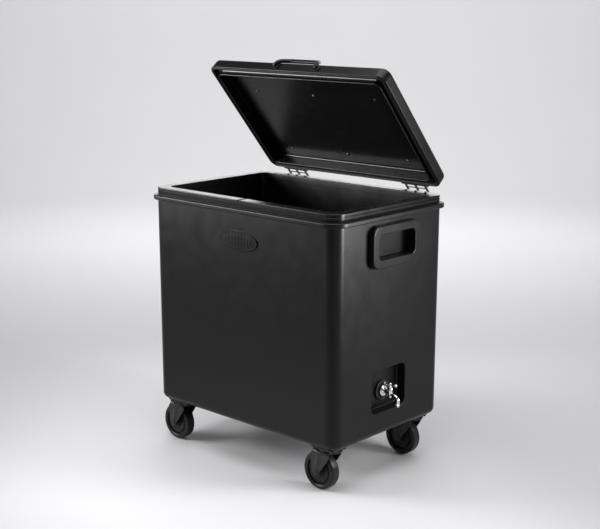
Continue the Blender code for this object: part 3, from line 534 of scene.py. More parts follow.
def sweep_round(path, radii):
    """A round tube down a path in the XZ plane, with a radius at each point."""
    side = Vector((0, 1, 0))
    rings = []
    for here, point in enumerate(path):
        across = tangent_at(path, here).cross(side)
        rings.append([point + (across * cos(a) + side * sin(a)) * radii[here]
                      for a in around(SMALL_STEPS)])
    return loft(rings)


def soften(made, angle=30):
    """Bevels the edges of an object that are sharper than an angle in degrees."""
    soft = made.modifiers.new("soft edges", "BEVEL")
    soft.width = SOFT_EDGE
    soft.segments = 2
    soft.limit_method = "ANGLE"
    soft.angle_limit = radians(angle)


def evaluated(made):
    """The mesh of an object with its modifiers applied."""
    bpy.context.view_layer.update()
    return bpy.data.meshes.new_from_object(made.evaluated_get(bpy.context.evaluated_depsgraph_get()))


def combine(first, others, operation):
    """Booleans a mesh with each of the others and returns the result."""
    base = add_object("base", first)
    tools = []
    for mesh in others:
        made = add_object("tool", mesh)
        tools.append(made)
        step = base.modifiers.new("combine", "BOOLEAN")
        step.operation = operation
        step.solver = "EXACT"
        step.object = made
    result = evaluated(base)
    for made in [base] + tools:
        bpy.data.objects.remove(made, do_unlink=True)
    return result


def union(first, *others):
    return combine(first, others, "UNION")


def without(first, *others):
    return combine(first, others, "DIFFERENCE")


def piece(name, mesh, finish, body, *nodes, place=(0, 0, 0)):
    """Shows a mesh on a body, in place of the frame's nodes."""
    made = add_object(name, mesh)
    made.location = place
    mesh.materials.clear()
    mesh.materials.append(FINISHES[finish])
    mesh.shade_smooth()
    mesh.set_sharp_from_angle(angle=SHARP_ANGLE)
    flat = made.modifiers.new("flat faces", "WEIGHTED_NORMAL")
    flat.keep_sharp = True
    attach(made, body)
    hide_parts(*nodes)


def middle_of(box):
    low, high = box
    return (low + high) / 2


def centre(node):
    return middle_of(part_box(node))


# ---- tub ----

tub_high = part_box("inner_tub")[1]
shell_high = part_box("outer_shell")[1]
BODY_HALF = (tub_high.x, tub_high.y)
FLANGE_OUT = shell_high.x - tub_high.x
SHELL_TOP = shell_high.z
RIM_TOP = tub_high.z
END_X = tub_high.x
TAP_Z = centre("tap_gasket_disc").z


def tap_rod(radius, start_x, end_x):
    """A round bar on the axis of the tap's shank."""
    return rod(radius, (start_x, 0, TAP_Z), (end_x, 0, TAP_Z))


def drafted(points, top, draft):
    """Leans a profile inwards below a height, as the draft of a mould does."""
    return [(offset - draft * (top - z), z) for offset, z in points]


def shell_profile():
    """Up the outside, round the flange, and down the inside of the outer moulding."""
    flange_base = SHELL_TOP - FLANGE_HEIGHT
    outside = drafted(arc((-FOOT_RADIUS, FOOT_RADIUS), FOOT_RADIUS, -90, 0, 10)
                      + [(0.0, z * SHELL_TOP) for z in (0.25, 0.5, 0.75, 0.9)]
                      + [(0.0, flange_base - FLANGE_FILLET)], SHELL_TOP, SHELL_DRAFT)
    outside += arc((FLANGE_FILLET, flange_base - FLANGE_FILLET), FLANGE_FILLET, 180, 90)
    edge = FLANGE_OUT - FLANGE_ROUND
    outside += arc((edge, flange_base + FLANGE_ROUND), FLANGE_ROUND, -90, 0)
    outside += arc((edge, SHELL_TOP - FLANGE_SLOPE - FLANGE_ROUND), FLANGE_ROUND, 0, 75)
    outside += [(0.0, SHELL_TOP)]
    inside = drafted([(-SHELL_WALL, SHELL_TOP), (-SHELL_WALL, FOOT_RADIUS)], SHELL_TOP, SHELL_DRAFT)
    inner_foot = FOOT_RADIUS - SHELL_WALL
    inside += drafted(arc((-FOOT_RADIUS, FOOT_RADIUS), inner_foot, 0, -90, 5)[1:], SHELL_TOP, SHELL_DRAFT)
    return outside + inside


def build_shell():
    """The outer moulding, with its recess, its slots for the grips and its hinge seats."""
    shell = slab(shell_profile(), BODY_HALF, BODY_CORNER)
    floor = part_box("tap_gasket_disc")[0].x - HAIR
    cup = [(SHELL_WALL, floor - SHELL_WALL), (SHELL_WALL, END_X - SHELL_WALL)]
    mouth = END_X - SHELL_DRAFT * (SHELL_TOP - RECESS_PLACE[1])
    hollow = arc((-RECESS_FILLET, floor + RECESS_FILLET), RECESS_FILLET, -90, 0)
    hollow += arc((RECESS_FLARE, mouth - RECESS_FLARE), RECESS_FLARE, 180, 90)
    hollow += [(RECESS_FLARE, mouth + FLANGE_OUT)]
    recess_place = (0.0, *RECESS_PLACE)
    grip_z = centre("side_grip_right").z
    slot = slab([(0.0, END_X - 2 * SHELL_WALL), (0.0, END_X + SHELL_WALL)], CUP_HALF, CUP_CORNER)
    shell = union(shell, moved(slab(cup, RECESS_HALF, RECESS_CORNER), recess_place, ALONG_X))
    cutters = [moved(slab(hollow, RECESS_HALF, RECESS_CORNER), recess_place, ALONG_X),
               moved(slot.copy(), (0.0, 0.0, grip_z), ALONG_X),
               moved(slot, (0.0, 0.0, grip_z), HALF_TURN @ ALONG_X)]
    for name in ENDS:
        low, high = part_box(f"hinge_body_leaf_{name}")
        cutters.append(block((low.x - 0.002, BODY_HALF[1] + HAIR, SHELL_TOP - 2 * FLANGE_HEIGHT),
                             (high.x + 0.002, BODY_HALF[1] + 2 * FLANGE_OUT, SHELL_TOP + 0.01), 0.0))
    wide, deep = UNDER_GROOVE
    groove = [(0.0, -deep), (wide, -deep), (wide, deep), (0.0, deep)]
    cutters.append(slab(groove, UNDER_PANEL, UNDER_CORNER, closed=True))
    cutters.append(tap_rod(TAP_HOLE_RADIUS, floor - 2 * SHELL_WALL, floor + SHELL_WALL))
    piece("shell_moulding", without(shell, *cutters), "shell_plastic", "tub", "outer_shell")


def build_tank():
    """The rim with a fine groove round its outside, and the tank that hangs from it."""
    base = SHELL_TOP + HAIR
    middle = (base + RIM_TOP) / 2
    inner = -RIM_WALL
    outside = [(inner - TANK_WALL, base), (-RIM_ROUND, base), (-RIM_ROUND * 0.3, base + RIM_ROUND * 0.3),
               (0.0, base + RIM_ROUND), (0.0, middle - RIM_GROOVE), (-RIM_GROOVE, middle),
               (-RIM_GROOVE, middle + RIM_GROOVE), (0.0, middle + 2 * RIM_GROOVE)]
    outside += arc((-RIM_ROUND, RIM_TOP - RIM_ROUND), RIM_ROUND, 0, 90)
    outside += arc((inner + RIM_ROUND, RIM_TOP - RIM_ROUND), RIM_ROUND, 90, 180)
    corner_shift = OPENING_CORNER - (BODY_CORNER + inner)
    rings = stack(outside, BODY_HALF, BODY_CORNER)
    for index, (offset, z) in enumerate(outside):
        if offset <= inner + RIM_ROUND:
            half = (BODY_HALF[0] + offset, BODY_HALF[1] + offset)
            rings[index] = rectangle(*half, BODY_CORNER + offset + corner_shift, z)
    inside = drafted([(0.0, RIM_TOP - 0.02)] + [(0.0, z * RIM_TOP) for z in (0.7, 0.4, 0.2)]
                     + arc((-TANK_FOOT, TANK_FLOOR + TANK_FOOT), TANK_FOOT, 0, -90, 8),
                     RIM_TOP, TANK_DRAFT)
    opening = (BODY_HALF[0] + inner, BODY_HALF[1] + inner)
    rings += stack(inside, opening, OPENING_CORNER)
    under = drafted(arc((-TANK_FOOT, TANK_FLOOR + TANK_FOOT), TANK_FOOT + TANK_WALL, -90, 0, 8)
                    + [(TANK_WALL, base)], RIM_TOP, TANK_DRAFT)
    tank = loft_tank(rings, stack(under, opening, OPENING_CORNER))
    notch = block((-NOTCH_HALF, -BODY_HALF[1] - 0.01, RIM_TOP - NOTCH_DEPTH),
                  (NOTCH_HALF, -BODY_HALF[1] + RIM_WALL + 0.004, RIM_TOP + 0.01), 0.0)
    inlet_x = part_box("tap_body")[0].x
    hole = tap_rod(TAP_HOLE_RADIUS, inlet_x - 0.002, inlet_x + 0.030)
    piece("tank_moulding", without(tank, notch, hole), "tank_plastic", "tub", "inner_tub")


def loft_tank(over, under):
    """Closes the tank: the rings over run down to its floor, those under back up outside."""
    bm = bmesh.new()
    rows = add_rows(bm, over)
    back = add_rows(bm, under)
    bm.faces.new(rows[-1])
    bm.faces.new(back[0])
    add_sides(bm, list(zip(rows, rows[1:])) + list(zip(back, back[1:])) + [(back[-1], rows[0])])
    return to_mesh(bm)


def build_grips():
    """A boss round a pocket; the left grip is the right one turned half a turn."""
    low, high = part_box("side_grip_right")
    half = ((high.y - low.y) / 2, (high.z - low.z) / 2)
    wall = END_X + HAIR
    face = high.x
    floor = face - POCKET_DEPTH
    boss = [(-0.001, wall), (0.0, wall + 0.001)]
    boss += arc((-GRIP_EDGE, face - GRIP_EDGE), GRIP_EDGE, 0, 90)
    pocket = arc((POCKET_EDGE, face - POCKET_EDGE), POCKET_EDGE, 90, 180)
    pocket += arc((-POCKET_FILLET, floor + POCKET_FILLET), POCKET_FILLET, 0, -90)
    cup = [(-0.0005, low.x), (-0.0005, wall + 0.001)]
    grip = union(slab(boss, half, GRIP_CORNER), slab(cup, CUP_HALF, CUP_CORNER))
    cutter = [(POCKET_EDGE, face + 0.01)] + pocket
    grip = without(grip, slab(cutter, POCKET_HALF, POCKET_CORNER))
    place = (0.0, 0.0, (low.z + high.z) / 2)
    piece("grip_right", moved(grip.copy(), place, ALONG_X), "trim_plastic", "tub", "side_grip_right")
    piece("grip_left", moved(grip, place, HALF_TURN @ ALONG_X), "trim_plastic", "tub", "side_grip_left")


def badge_ring(half, scale, y):
    """An oval ring; near the edge its height shrinks faster, to keep the border even."""
    tall = 1 - (1 - scale) * 2.2 if scale > 0.9 else scale
    return [Vector((half.x * scale * cos(a), y, half.z * tall * sin(a)))
            for a in around(ROUND_STEPS)]


def build_badge():
    """A blank oval with a raised border, and a row of plain ribs inside it."""
    low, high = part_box("front_badge")
    half = (high - low) / 2
    face = low.y
    back = high.y
    sink = BADGE_RIM / 2
    steps = [(1.0, back), (1.0, face + 0.0004), (0.992, face), (0.965, face), (0.955, face + sink),
             (0.60, face + sink * 0.9), (0.2, face + sink * 0.85)]
    badge = loft([badge_ring(half, scale, y) for scale, y in steps])
    ribs = []
    for count in range(BADGE_RIBS):
        across = (count - (BADGE_RIBS - 1) / 2) / (BADGE_RIBS / 2)
        tall = half.z * 0.52 * sqrt(1 - across ** 2 * 0.8)
        x = half.x * 0.74 * across
        ribs.append(block((x - BADGE_RIB_HALF, face + 0.0001, -tall),
                          (x + BADGE_RIB_HALF, back - 0.0005, tall)))
    badge = moved(union(badge, *ribs), (0.0, 0.0, centre("front_badge").z))
    piece("badge_plate", badge, "trim_plastic", "tub", "front_badge")


# ---- tap ----

COLUMN = joint_place("tap_turn")


def build_washer():
    low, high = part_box("tap_gasket_disc")
    radius = (high.z - low.z) / 2
    skin = high.x - low.x
    disc = [(WASHER_BORE, 0.0), (radius - 0.0006, 0.0), (radius, 0.0006)]
    disc += arc((radius - WASHER_ROUND, skin - WASHER_ROUND), WASHER_ROUND, 0, 90)
    disc += [(0.0135, skin), (0.013, skin - 0.0008), (WASHER_BORE, skin - 0.0008)]
    piece("tap_washer", moved(loft(rounds(disc), closed=True), (low.x, 0, TAP_Z), ALONG_X),
          "soft_rubber", "tub", "tap_gasket_disc")


def build_tap_casting():
    """Shank, collar, upright column and bent spout in one, with a bore at each end."""
    low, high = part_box("tap_body")
    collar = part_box("tap_gasket_disc")[1].x + HAIR
    turned = [(TAP_INLET_RADIUS, low.x), (0.0078, low.x), (TAP_SHANK_RADIUS, low.x + 0.0004)]
    turned += [(TAP_SHANK_RADIUS, collar), (0.0112, collar), (0.0115, collar + 0.0004)]
    turned += arc((0.0100, collar + 0.0020), 0.0015, 0, 90)
    turned += arc((0.0066, collar + 0.0051), 0.0016, 270, 180, 4)
    turned += [(TAP_NECK_RADIUS, COLUMN.x - 0.0045), (TAP_NECK_RADIUS, COLUMN.x), (0.0045, COLUMN.x)]
    shank = moved(lathe(turned), (0, 0, TAP_Z), ALONG_X)
    foot = TAP_Z - COLUMN_FOOT_DROP
    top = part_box("tap_gland_nut")[0].z - HAIR
    post = [(0.0022, foot - 0.0036), (0.0030, foot - 0.0034), (0.0036, foot - 0.0022)]
    post += [(BEAD_RADIUS, foot - 0.0006)]
    post += arc((BEAD_RADIUS, foot + BEAD_ROUND), BEAD_ROUND, -90, 90, 4)
    post += [(0.0048, foot + 0.0030), (TAP_NECK_RADIUS, TAP_Z), (0.0048, top - 0.0030)]
    post += arc((BEAD_RADIUS, top - BEAD_ROUND), BEAD_ROUND, -90, 90, 4)
    pillar = moved(lathe(post), (COLUMN.x, 0, 0))
    spout_x = high.x - BEAD_RADIUS
    spout = tap_spout(COLUMN.x, spout_x, low.z)
    lip = [(SPOUT_END_RADIUS, 0.0), (BEAD_RADIUS, 0.0004), (BEAD_RADIUS, 0.0024), (0.0038, 0.0032)]
    ring = moved(lathe(lip), (spout_x, 0, low.z))
    body = union(pillar, shank, spout, ring)
    bore = rod(SPOUT_BORE_RADIUS, (spout_x, 0, low.z - 0.003), (spout_x, 0, low.z + 0.010))
    inlet = tap_rod(TAP_INLET_RADIUS, low.x - 0.003, low.x + TAP_INLET_DEPTH)
    piece("tap_casting", without(body, bore, inlet), "bright_chrome", "tub", "tap_body")


def tap_spout(start_x, end_x, mouth_z):
    """A tube that bends from level to straight down, and tapers a little on the way."""
    lead, fall = SPOUT_FALL
    path = []
    radii = []
    for step in range(SPOUT_STEPS + 1):
        angle = radians(90 * step / SPOUT_STEPS)
        path.append(Vector((start_x + (end_x - start_x) * sin(angle), 0.0,
                            TAP_Z - lead - fall * (1 - cos(angle)))))
        radii.append(SPOUT_RADIUS - SPOUT_TAPER * min(step / 12, 1.0))
    path += [Vector((end_x, 0.0, mouth_z + 0.004)), Vector((end_x, 0.0, mouth_z))]
    return sweep_round(path, radii + [SPOUT_END_RADIUS, SPOUT_END_RADIUS])


def build_gland_nut():
    low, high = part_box("tap_gland_nut")
    height = high.z - low.z
    nut = [hexagon(0.0050, 0.0), hexagon(NUT_CORNER_RADIUS, 0.0005)]
    nut += [hexagon(NUT_CORNER_RADIUS, height - 0.0008), hexagon(0.0048, height)]
    nut += [hexagon(0.0029, height), hexagon(0.0029, 0.0)]
    piece("gland_nut", moved(loft(nut, closed=True), (COLUMN.x, 0, low.z)), "bright_chrome",
          "tub", "tap_gland_nut")


def build_tap_handle():
    """A crossbar with a ball at each end, on a domed stem."""
    low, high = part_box("tap_handle")
    half = (high.x - low.x) / 2
    ball = BALL_RADIUS
    bar = [(0.0004, -half)] + [(ball * sin(a), -half + ball - ball * cos(a))
                               for a in (radians(15 * k) for k in range(1, 10))]
    bar += [(BAR_RADIUS, -half + 2 * ball), (BAR_RADIUS, -0.004), (0.0024, -0.0015)]
    bar += [(r, -z) for r, z in reversed(bar)]
    cross = moved(lathe(bar), (COLUMN.x, 0, COLUMN.z), ALONG_X)
    stem = [(STEM_RADIUS, low.z), (STEM_RADIUS, COLUMN.z - 0.004), (0.0036, COLUMN.z - 0.0026)]
    stem += arc((0.0, COLUMN.z), KNOB_RADIUS, -30, 80, 8)
    stem = moved(lathe(stem), (COLUMN.x, 0, 0))
    piece("tap_t_handle", union(stem, cross), "bright_chrome", "tap_lever", "tap_handle")


# ---- casters ----

def stud(top, base):
    """A stud from top down to base, with a chamfered nut run up under the caster plate."""
    radius = STUD_RADIUS
    seat = -PLATE_SKIN - 0.0006
    low = seat - NUT_HEIGHT
    rings = small_rounds([(radius, top), (radius, seat)])
    rings += [hexagon(NUT_RADIUS * 0.94, seat), hexagon(NUT_RADIUS, seat - 0.0005)]
    rings += [hexagon(NUT_RADIUS, low + 0.0007)]
    rings += small_rounds([(NUT_RADIUS * 0.82, low), (radius, low), (radius, base + 0.0004),
                           (radius * 0.8, base)])
    return loft(rings)


def build_casters():
    """Draws one caster, about its own origins, and shows it at the four corners."""
    first = CASTERS[0]
    origin = joint_place(f"caster_swivel_{first}")
    axle = joint_place(f"wheel_spin_{first}") - origin
    plate = caster_plate(first)
    studs = stud_plate(first)
    fork = fork_sheet(axle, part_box(f"caster_fork_{first}")[1].y - origin.y)
    bolt = axle_bolt(first)
    tyre = tyre_ring(first)
    hub = hub_disc(first)
    for name in CASTERS:
        place = joint_place(f"caster_swivel_{name}")
        wheel = joint_place(f"wheel_spin_{name}")
        swivel = f"swivel_{name}"
        roll = f"wheel_{name}"
        piece(f"top_plate_{name}", plate, "dark_steel", "tub", f"caster_plate_{name}", place=place)
        piece(f"studs_{name}", studs, "dark_steel", "tub", f"caster_stud_plate_{name}", place=place)
        piece(f"fork_{name}", fork, "dark_steel", swivel, f"caster_fork_{name}", place=place)
        piece(f"axle_bolt_{name}", bolt, "dark_steel", swivel, f"caster_axle_{name}", place=wheel)
        piece(f"tyre_{name}", tyre, "tyre_rubber", roll, f"wheel_tyre_{name}", place=wheel)
        piece(f"hub_{name}", hub, "hub_plastic", roll, f"wheel_hub_{name}", place=wheel)


def caster_plate(name):
    """The top plate, its ball race and the kingpin with a riveted head."""
    low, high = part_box(f"caster_plate_{name}")
    half = ((high.x - low.x) / 2, (high.y - low.y) / 2)
    top = high.z
    base = top - PLATE_SKIN
    profile = [(-0.0006, top), (0.0, top - 0.0006), (0.0, base + 0.001), (-0.001, base)]
    sheet = slab(profile, half, PLATE_CORNER, 6)
    race = [(RACE_RADIUS, base + 0.0005), (RACE_RADIUS - 0.0005, base - 0.0002)]
    race += [(0.0216, base - HAIR), (KINGPIN_RADIUS, base - HAIR), (KINGPIN_RADIUS, low.z + 0.003)]
    race += [(KINGPIN_HEAD_RADIUS, low.z + 0.003), (KINGPIN_HEAD_RADIUS, low.z + 0.0016)]
    race += [(0.0068, low.z + HAIR), (0.004, low.z)]
    return union(sheet, loft(rounds(race)))


def stud_plate(name):
    low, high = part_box(f"caster_stud_plate_{name}")
    top = high.z
    half = ((high.x - low.x) / 2, STUD_SPREAD[1] + 0.004)
    sheet = slab([(0.0, top - 0.002), (0.0, top - 0.0004), (-0.0004, top)], half, 0.006, 6)
    studs = [moved(stud(top - 0.001, low.z), (side_x * STUD_SPREAD[0], side_y * STUD_SPREAD[1], 0.0))
             for side_x in (-1, 1) for side_y in (-1, 1)]
    return union(sheet, *studs)


def fork_route(half, eye_foot):
    """(y, z) points across the fork: up one cheek, over the crown and down the other."""
    crown = CROWN_SHEET_Z
    drop = [crown - FORK_BEND + (eye_foot - crown + FORK_BEND) * k / 22 for k in range(23)]
    bend = [(half - FORK_BEND + FORK_BEND * sin(a), crown - FORK_BEND + FORK_BEND * cos(a))
            for a in (radians(15 * k) for k in range(6))]
    flat = [(half - FORK_BEND) * k / 4 for k in range(4)]
    route = [(y, crown) for y in flat] + bend + [(half, z) for z in drop]
    return [(-y, z) for y, z in reversed(route[1:])] + route


def fork_row(y, z, axle, eye_foot):
    """Points across the sheet at one place on its route, with the pressed ridge in the middle."""
    crown = CROWN_SHEET_Z
    rear, front = cheek_span(z, axle)
    fall = min(1.0, max(0.0, (crown - z) / (crown - axle.z)))
    fold_x = axle.x * fall + (FORK_REAR + FORK_FRONT) / 2 * (1 - fall)
    down = min(1.0, max(0.0, (crown - FORK_BEND - z) / 0.008))
    row = []
    for column in range(CHEEK_COLUMNS + 1):
        share = column / CHEEK_COLUMNS
        if share <= 0.5:
            x = rear + (fold_x - rear) * share * 2
        else:
            x = fold_x + (front - fold_x) * (share * 2 - 1)
        crest = max(0.0, 1 - 3 * abs(share * 2 - 1))
        ridge = CHEEK_FOLD * down * crest * min(1.0, (z - eye_foot) / (EYE_RADIUS * 2))
        row.append((x, y + copysign(ridge, y), z))
    return row


def fork_sheet(axle, outer):
    """A thickened sheet, with a turned crown that fills the gap to the plate."""
    eye_foot = axle.z - EYE_RADIUS
    bm = bmesh.new()
    rows = add_rows(bm, [fork_row(y, z, axle, eye_foot) for y, z in fork_route(outer - 0.002, eye_foot)])
    for low, high in zip(rows, rows[1:]):
        for here in range(CHEEK_COLUMNS):
            bm.faces.new((low[here], high[here], high[here + 1], low[here + 1]))
    solid = add_object("sheet", to_mesh(bm))
    skin = solid.modifiers.new("skin", "SOLIDIFY")
    skin.thickness = CHEEK_SKIN
    skin.offset = 0.0
    soften(solid, 50)
    sheet = evaluated(solid)
    bpy.data.objects.remove(solid, do_unlink=True)
    top = CROWN_TOP_Z
    profile = [(CROWN_BORE, top), (0.0212, top), (0.0218, top - 0.0006), (0.0218, -0.0082)]
    profile += [(0.0222, -0.0090), (0.0262, -0.0094), (0.0268, -0.0100), (0.0268, -0.0112)]
    profile += [(0.0262, -0.0118), (0.0222, -0.0122)]
    profile += arc((0.0200, -0.0122), 0.0014, 0, -90, 4) + [(CROWN_BORE, CROWN_FOOT_Z)]
    return union(loft(rounds(profile), closed=True), sheet)


def cheek_span(z, axle):
    """How far the cheek reaches to the rear and to the front at a height."""
    start = CROWN_SHEET_Z - FORK_BEND
    if z >= start:
        return FORK_REAR + 0.003, FORK_FRONT - 0.003
    if z <= axle.z:
        reach = sqrt(max(EYE_RADIUS ** 2 - (z - axle.z) ** 2, 0.0012 ** 2))
        return axle.x - reach, axle.x + reach
    share = (start - z) / (start - axle.z)
    rear = FORK_REAR + (axle.x - EYE_RADIUS - FORK_REAR) * max(0.0, (share - 0.35) / 0.65)
    front = FORK_FRONT + (axle.x + EYE_RADIUS - FORK_FRONT) * share ** 1.15
    return rear, front


def axle_bolt(name):
    """Half a bolt with its head, and its mirror image for the nut's end."""
    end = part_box(f"caster_axle_{name}")[1].y - joint_place(f"wheel_spin_{name}").y
    head = end - BOLT_HEAD
    half = small_rounds([(0.003, end - 0.0001), (0.0056, end)])
    half += [hexagon(BOLT_CORNER_RADIUS, end - 0.0008), hexagon(BOLT_CORNER_RADIUS, head + HAIR)]
    half += small_rounds([(0.0064, head), (0.0038, head)])
    other = [[Vector((p.x, p.y, -p.z)) for p in ring] for ring in reversed(half)]
    return moved(loft(half + other), turn=ALONG_Y)


def tyre_ring(name):
    """A round-shouldered tyre with a fine groove in each side."""
    low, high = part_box(f"wheel_tyre_{name}")
    radius = (high.z - low.z) / 2
    half = (high.y - low.y) / 2
    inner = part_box(f"wheel_hub_{name}")[1].z - joint_place(f"wheel_spin_{name}").z + HAIR
    side = radius - TYRE_SHOULDER
    profile = [(inner, half - 0.0010), (inner + 0.0008, half - 0.0002), (side - 0.0035, half)]
    profile += [(side - 0.0030, half - 0.0004), (side - 0.0022, half - 0.0004), (side - 0.0016, half)]
    profile += arc((side, half - TYRE_SHOULDER), TYRE_SHOULDER, 90, 12, 8)
    profile += [(radius - TYRE_CROWN * 0.25, half * 0.35), (radius, 0.0)]
    profile += [(r, -z) for r, z in reversed(profile[:-1])]
    return moved(loft(rounds(profile, WHEEL_STEPS), closed=True), turn=ALONG_Y)


def hub_disc(name):
    """A nearly flush disc with a ring groove near its rim and a raised boss round the axle."""
    low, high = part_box(f"wheel_hub_{name}")
    radius = (high.z - low.z) / 2
    boss = (high.y - low.y) / 2
    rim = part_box(f"wheel_tyre_{name}")[1].y - joint_place(f"wheel_spin_{name}").y - 0.0008
    groove = radius - GROOVE_FROM_RIM - GROOVE_WIDTH
    profile = [(radius, rim - 0.0005), (radius - 0.0004, rim), (radius - GROOVE_FROM_RIM, rim)]
    profile += [(radius - 0.0014, rim - GROOVE_DEPTH), (groove + 0.0002, rim - GROOVE_DEPTH)]
    profile += arc((groove - 0.0010, rim - 0.0016), 0.0010, 0, 90, 3)
    profile += [(0.0160, rim - 0.0012), (0.0125, rim - 0.0018)]
    profile += arc((0.0105, boss - 0.0014), 0.0010, 30, 90, 3)
    profile += [(0.0043, boss - 0.0004)]
    profile += [(r, -z) for r, z in reversed(profile)]
    return moved(loft(rounds(profile, WHEEL_STEPS), closed=True), turn=ALONG_Y)


# ---- lid, drawn closed and then turned open about the hinge pins ----

hinge = joints["lid_hinge"]
PIN = joint_place("lid_hinge")
OPEN_TURN = Matrix.Rotation(-radians(hinge["range_deg"][0]), 4, Vector(hinge["axis"]))
TO_OPEN = Matrix.Translation(PIN) @ OPEN_TURN @ Matrix.Translation(-PIN)
TO_CLOSED = TO_OPEN.inverted()


def closed_box(node):
    """Lowest and highest corners of a lid node, taken with the lid shut."""
    points = [TO_CLOSED @ vert.co for vert in frame["nodes"][node].data.vertices]
    low = Vector([min(point[axis] for point in points) for axis in range(3)])
    high = Vector([max(point[axis] for point in points) for axis in range(3)])
    return low, high


def lid_piece(name, mesh, finish, *nodes):
    piece(name, moved(mesh, turn=TO_OPEN), finish, "lid", *nodes)


def build_lid():
    """The outer skin, the pan inside it with its dropped lip, the seal and the handle."""
    low, high = closed_box("lid_shell")
    half = (high.x, high.y)
    edge = LID_WALL / 2
    skin = arc((-LID_EDGE, high.z - LID_EDGE), LID_EDGE, 90, 0, 10)
    skin += [(0.0, low.z + 0.004)] + arc((-edge, low.z + edge), edge, 0, -180, 8)
    skin += arc((-LID_EDGE, high.z - LID_EDGE), LID_EDGE - LID_WALL, 0, 90, 6)
    lid_piece("lid_skin", slab(skin, half, LID_CORNER), "shell_plastic", "lid_shell")
    build_pan(half)
    seal_low, seal_high = closed_box("lid_gasket")
    outer = seal_high.x - half[0]
    round_seal = SEAL_WIDTH / 2
    seat = RIM_TOP + CHANNEL_DEPTH + 0.0005
    bulb = arc((outer - round_seal, seal_low.z + round_seal), round_seal, 0, -180, 10)
    bulb += [(outer - SEAL_WIDTH, seat), (outer, seat)]
    lid_piece("lid_seal", slab(bulb, half, LID_CORNER, closed=True), "soft_rubber", "lid_gasket")
    build_strap_handle()


def build_pan(half):
    """The pan: a ceiling, a land that closes on the skin, and the lip that drops into the rim."""
    low, high = closed_box("lid_liner")
    slack = half[0] - high.x
    ceiling = high.z - PAN_SKIN
    land = RIM_TOP + CHANNEL_DEPTH
    lip = -LIP_INSET
    outer = lip + LIP_WALL
    round_lip = LIP_WALL / 2
    pan = arc((outer - PAN_ROUND, high.z - PAN_ROUND), PAN_ROUND, 90, 0)
    pan += [(outer, land + LAND_SKIN), (-slack - 0.0004, land + LAND_SKIN), (-slack, land + LAND_SKIN / 2)]
    pan += [(-slack - 0.0004, land), (outer + 0.001, land), (outer, land - 0.001)]
    pan += arc((lip + round_lip, low.z + round_lip), round_lip, 0, -180, 8)
    pan += arc((lip - PAN_ROUND, ceiling - PAN_ROUND), PAN_ROUND, 0, 90)
    holes = []
    for count in range(1, 7):
        spot = middle_of(closed_box(f"lid_liner_screw_{count}"))
        holes.append(rod(LINER_HOLE_RADIUS, (spot.x, spot.y, ceiling - 0.004),
                         (spot.x, spot.y, ceiling + 0.006)))
    liner = slab(pan, half, LIP_CORNER + LIP_INSET)
    lid_piece("lid_pan", without(liner, *holes), "tank_plastic", "lid_liner")


def rounded_path(corners, bend):
    """Joins corners by straight runs, with each corner between them rounded off."""
    path = [corners[0]]
    for before, here, after in zip(corners, corners[1:], corners[2:]):
        reach = min(bend, (here - before).length * 0.45, (after - here).length * 0.45)
        start = here + (before - here).normalized() * reach
        end = here + (after - here).normalized() * reach
        for step in range(5):
            t = step / 4
            path.append(start * (1 - t) ** 2 + here * 2 * t * (1 - t) + end * t ** 2)
    path.append(corners[-1])
    return path


def build_strap_handle():
    """A soft-edged bar: it stands on two pads, bends up over the lid's edge and runs across."""
    low, high = closed_box("lid_handle")
    shell_face = closed_box("lid_shell")[0].y
    face = shell_face - HAIR
    pad_z = low.z + HANDLE_PAD[1]
    bar_z = high.z - STRAP[0]
    rise = bar_z - pad_z
    middle = (low.x + high.x) / 2
    foot = high.x - middle - HANDLE_PAD[0]
    stand = face - STRAP_STAND
    back = shell_face + STRAP_BACK
    soft = STRAP_BEND / 2
    half = [Vector((-foot, stand, pad_z - 0.002)), Vector((-foot + soft, stand, pad_z + rise / 4)),
            Vector((-foot * 0.6 - HANDLE_BAR_HALF * 0.4, stand + soft, pad_z + rise / 2)),
            Vector((-HANDLE_BAR_HALF - soft / 2, back - soft / 2, bar_z - soft / 2)),
            Vector((-HANDLE_BAR_HALF + soft, back, bar_z))]
    corners = half + [Vector((-point.x, point.y, point.z)) for point in reversed(half)]
    section = rectangle(STRAP[0], STRAP[1], STRAP_CORNER, 0.0, 5)
    strap = sweep(rounded_path(corners, STRAP_BEND), section, Vector((0, -1, 0)))
    wide, tall, thick = HANDLE_PAD
    pad = [(-0.0015, thick), (-0.0004, thick - 0.0005), (0.0, thick - 0.0014), (0.0, 0.0)]
    pads = []
    for x in (-foot, foot):
        pads.append(moved(slab(pad, (wide, tall), HANDLE_PAD_CORNER, 6), (x, face, pad_z), TO_FRONT))
        pads.append(rod(HANDLE_BOSS_RADIUS, (x, stand - 0.0026, pad_z), (x, face - 0.001, pad_z), 0.001))
        pads.append(rod(HANDLE_RIVET_RADIUS, (x, face - 0.001, pad_z), (x, face + 0.005, pad_z)))
    handle = moved(union(strap, *pads), (middle, 0, 0))
    lid_piece("lid_strap_handle", handle, "trim_plastic", "lid_handle")


# ---- hinges and screws ----

def pan_screw(length):
    """A pan-head screw with a cross recess; its seat is at the origin, its head above."""
    head = SCREW_HEAD_RISE
    profile = [(SCREW_SHANK * 0.5, -length), (SCREW_SHANK, -length + 0.0012), (SCREW_SHANK, 0.0)]
    profile += [(SCREW_HEAD - 0.0002, 0.0), (SCREW_HEAD, 0.0004)]
    profile += [(SCREW_HEAD * cos(a), 0.0004 + (head - 0.0004) * sin(a))
                for a in (radians(18 * k) for k in range(1, 5))]
    screw = lathe(profile)
    slot = SCREW_SLOT_HALF
    reach = SCREW_HEAD * 0.55
    cross = union(block((-reach, -slot, head * 0.45), (reach, slot, head * 2), 0.0),
                  block((-slot, -reach, head * 0.45), (slot, reach, head * 2), 0.0))
    return without(screw, cross)


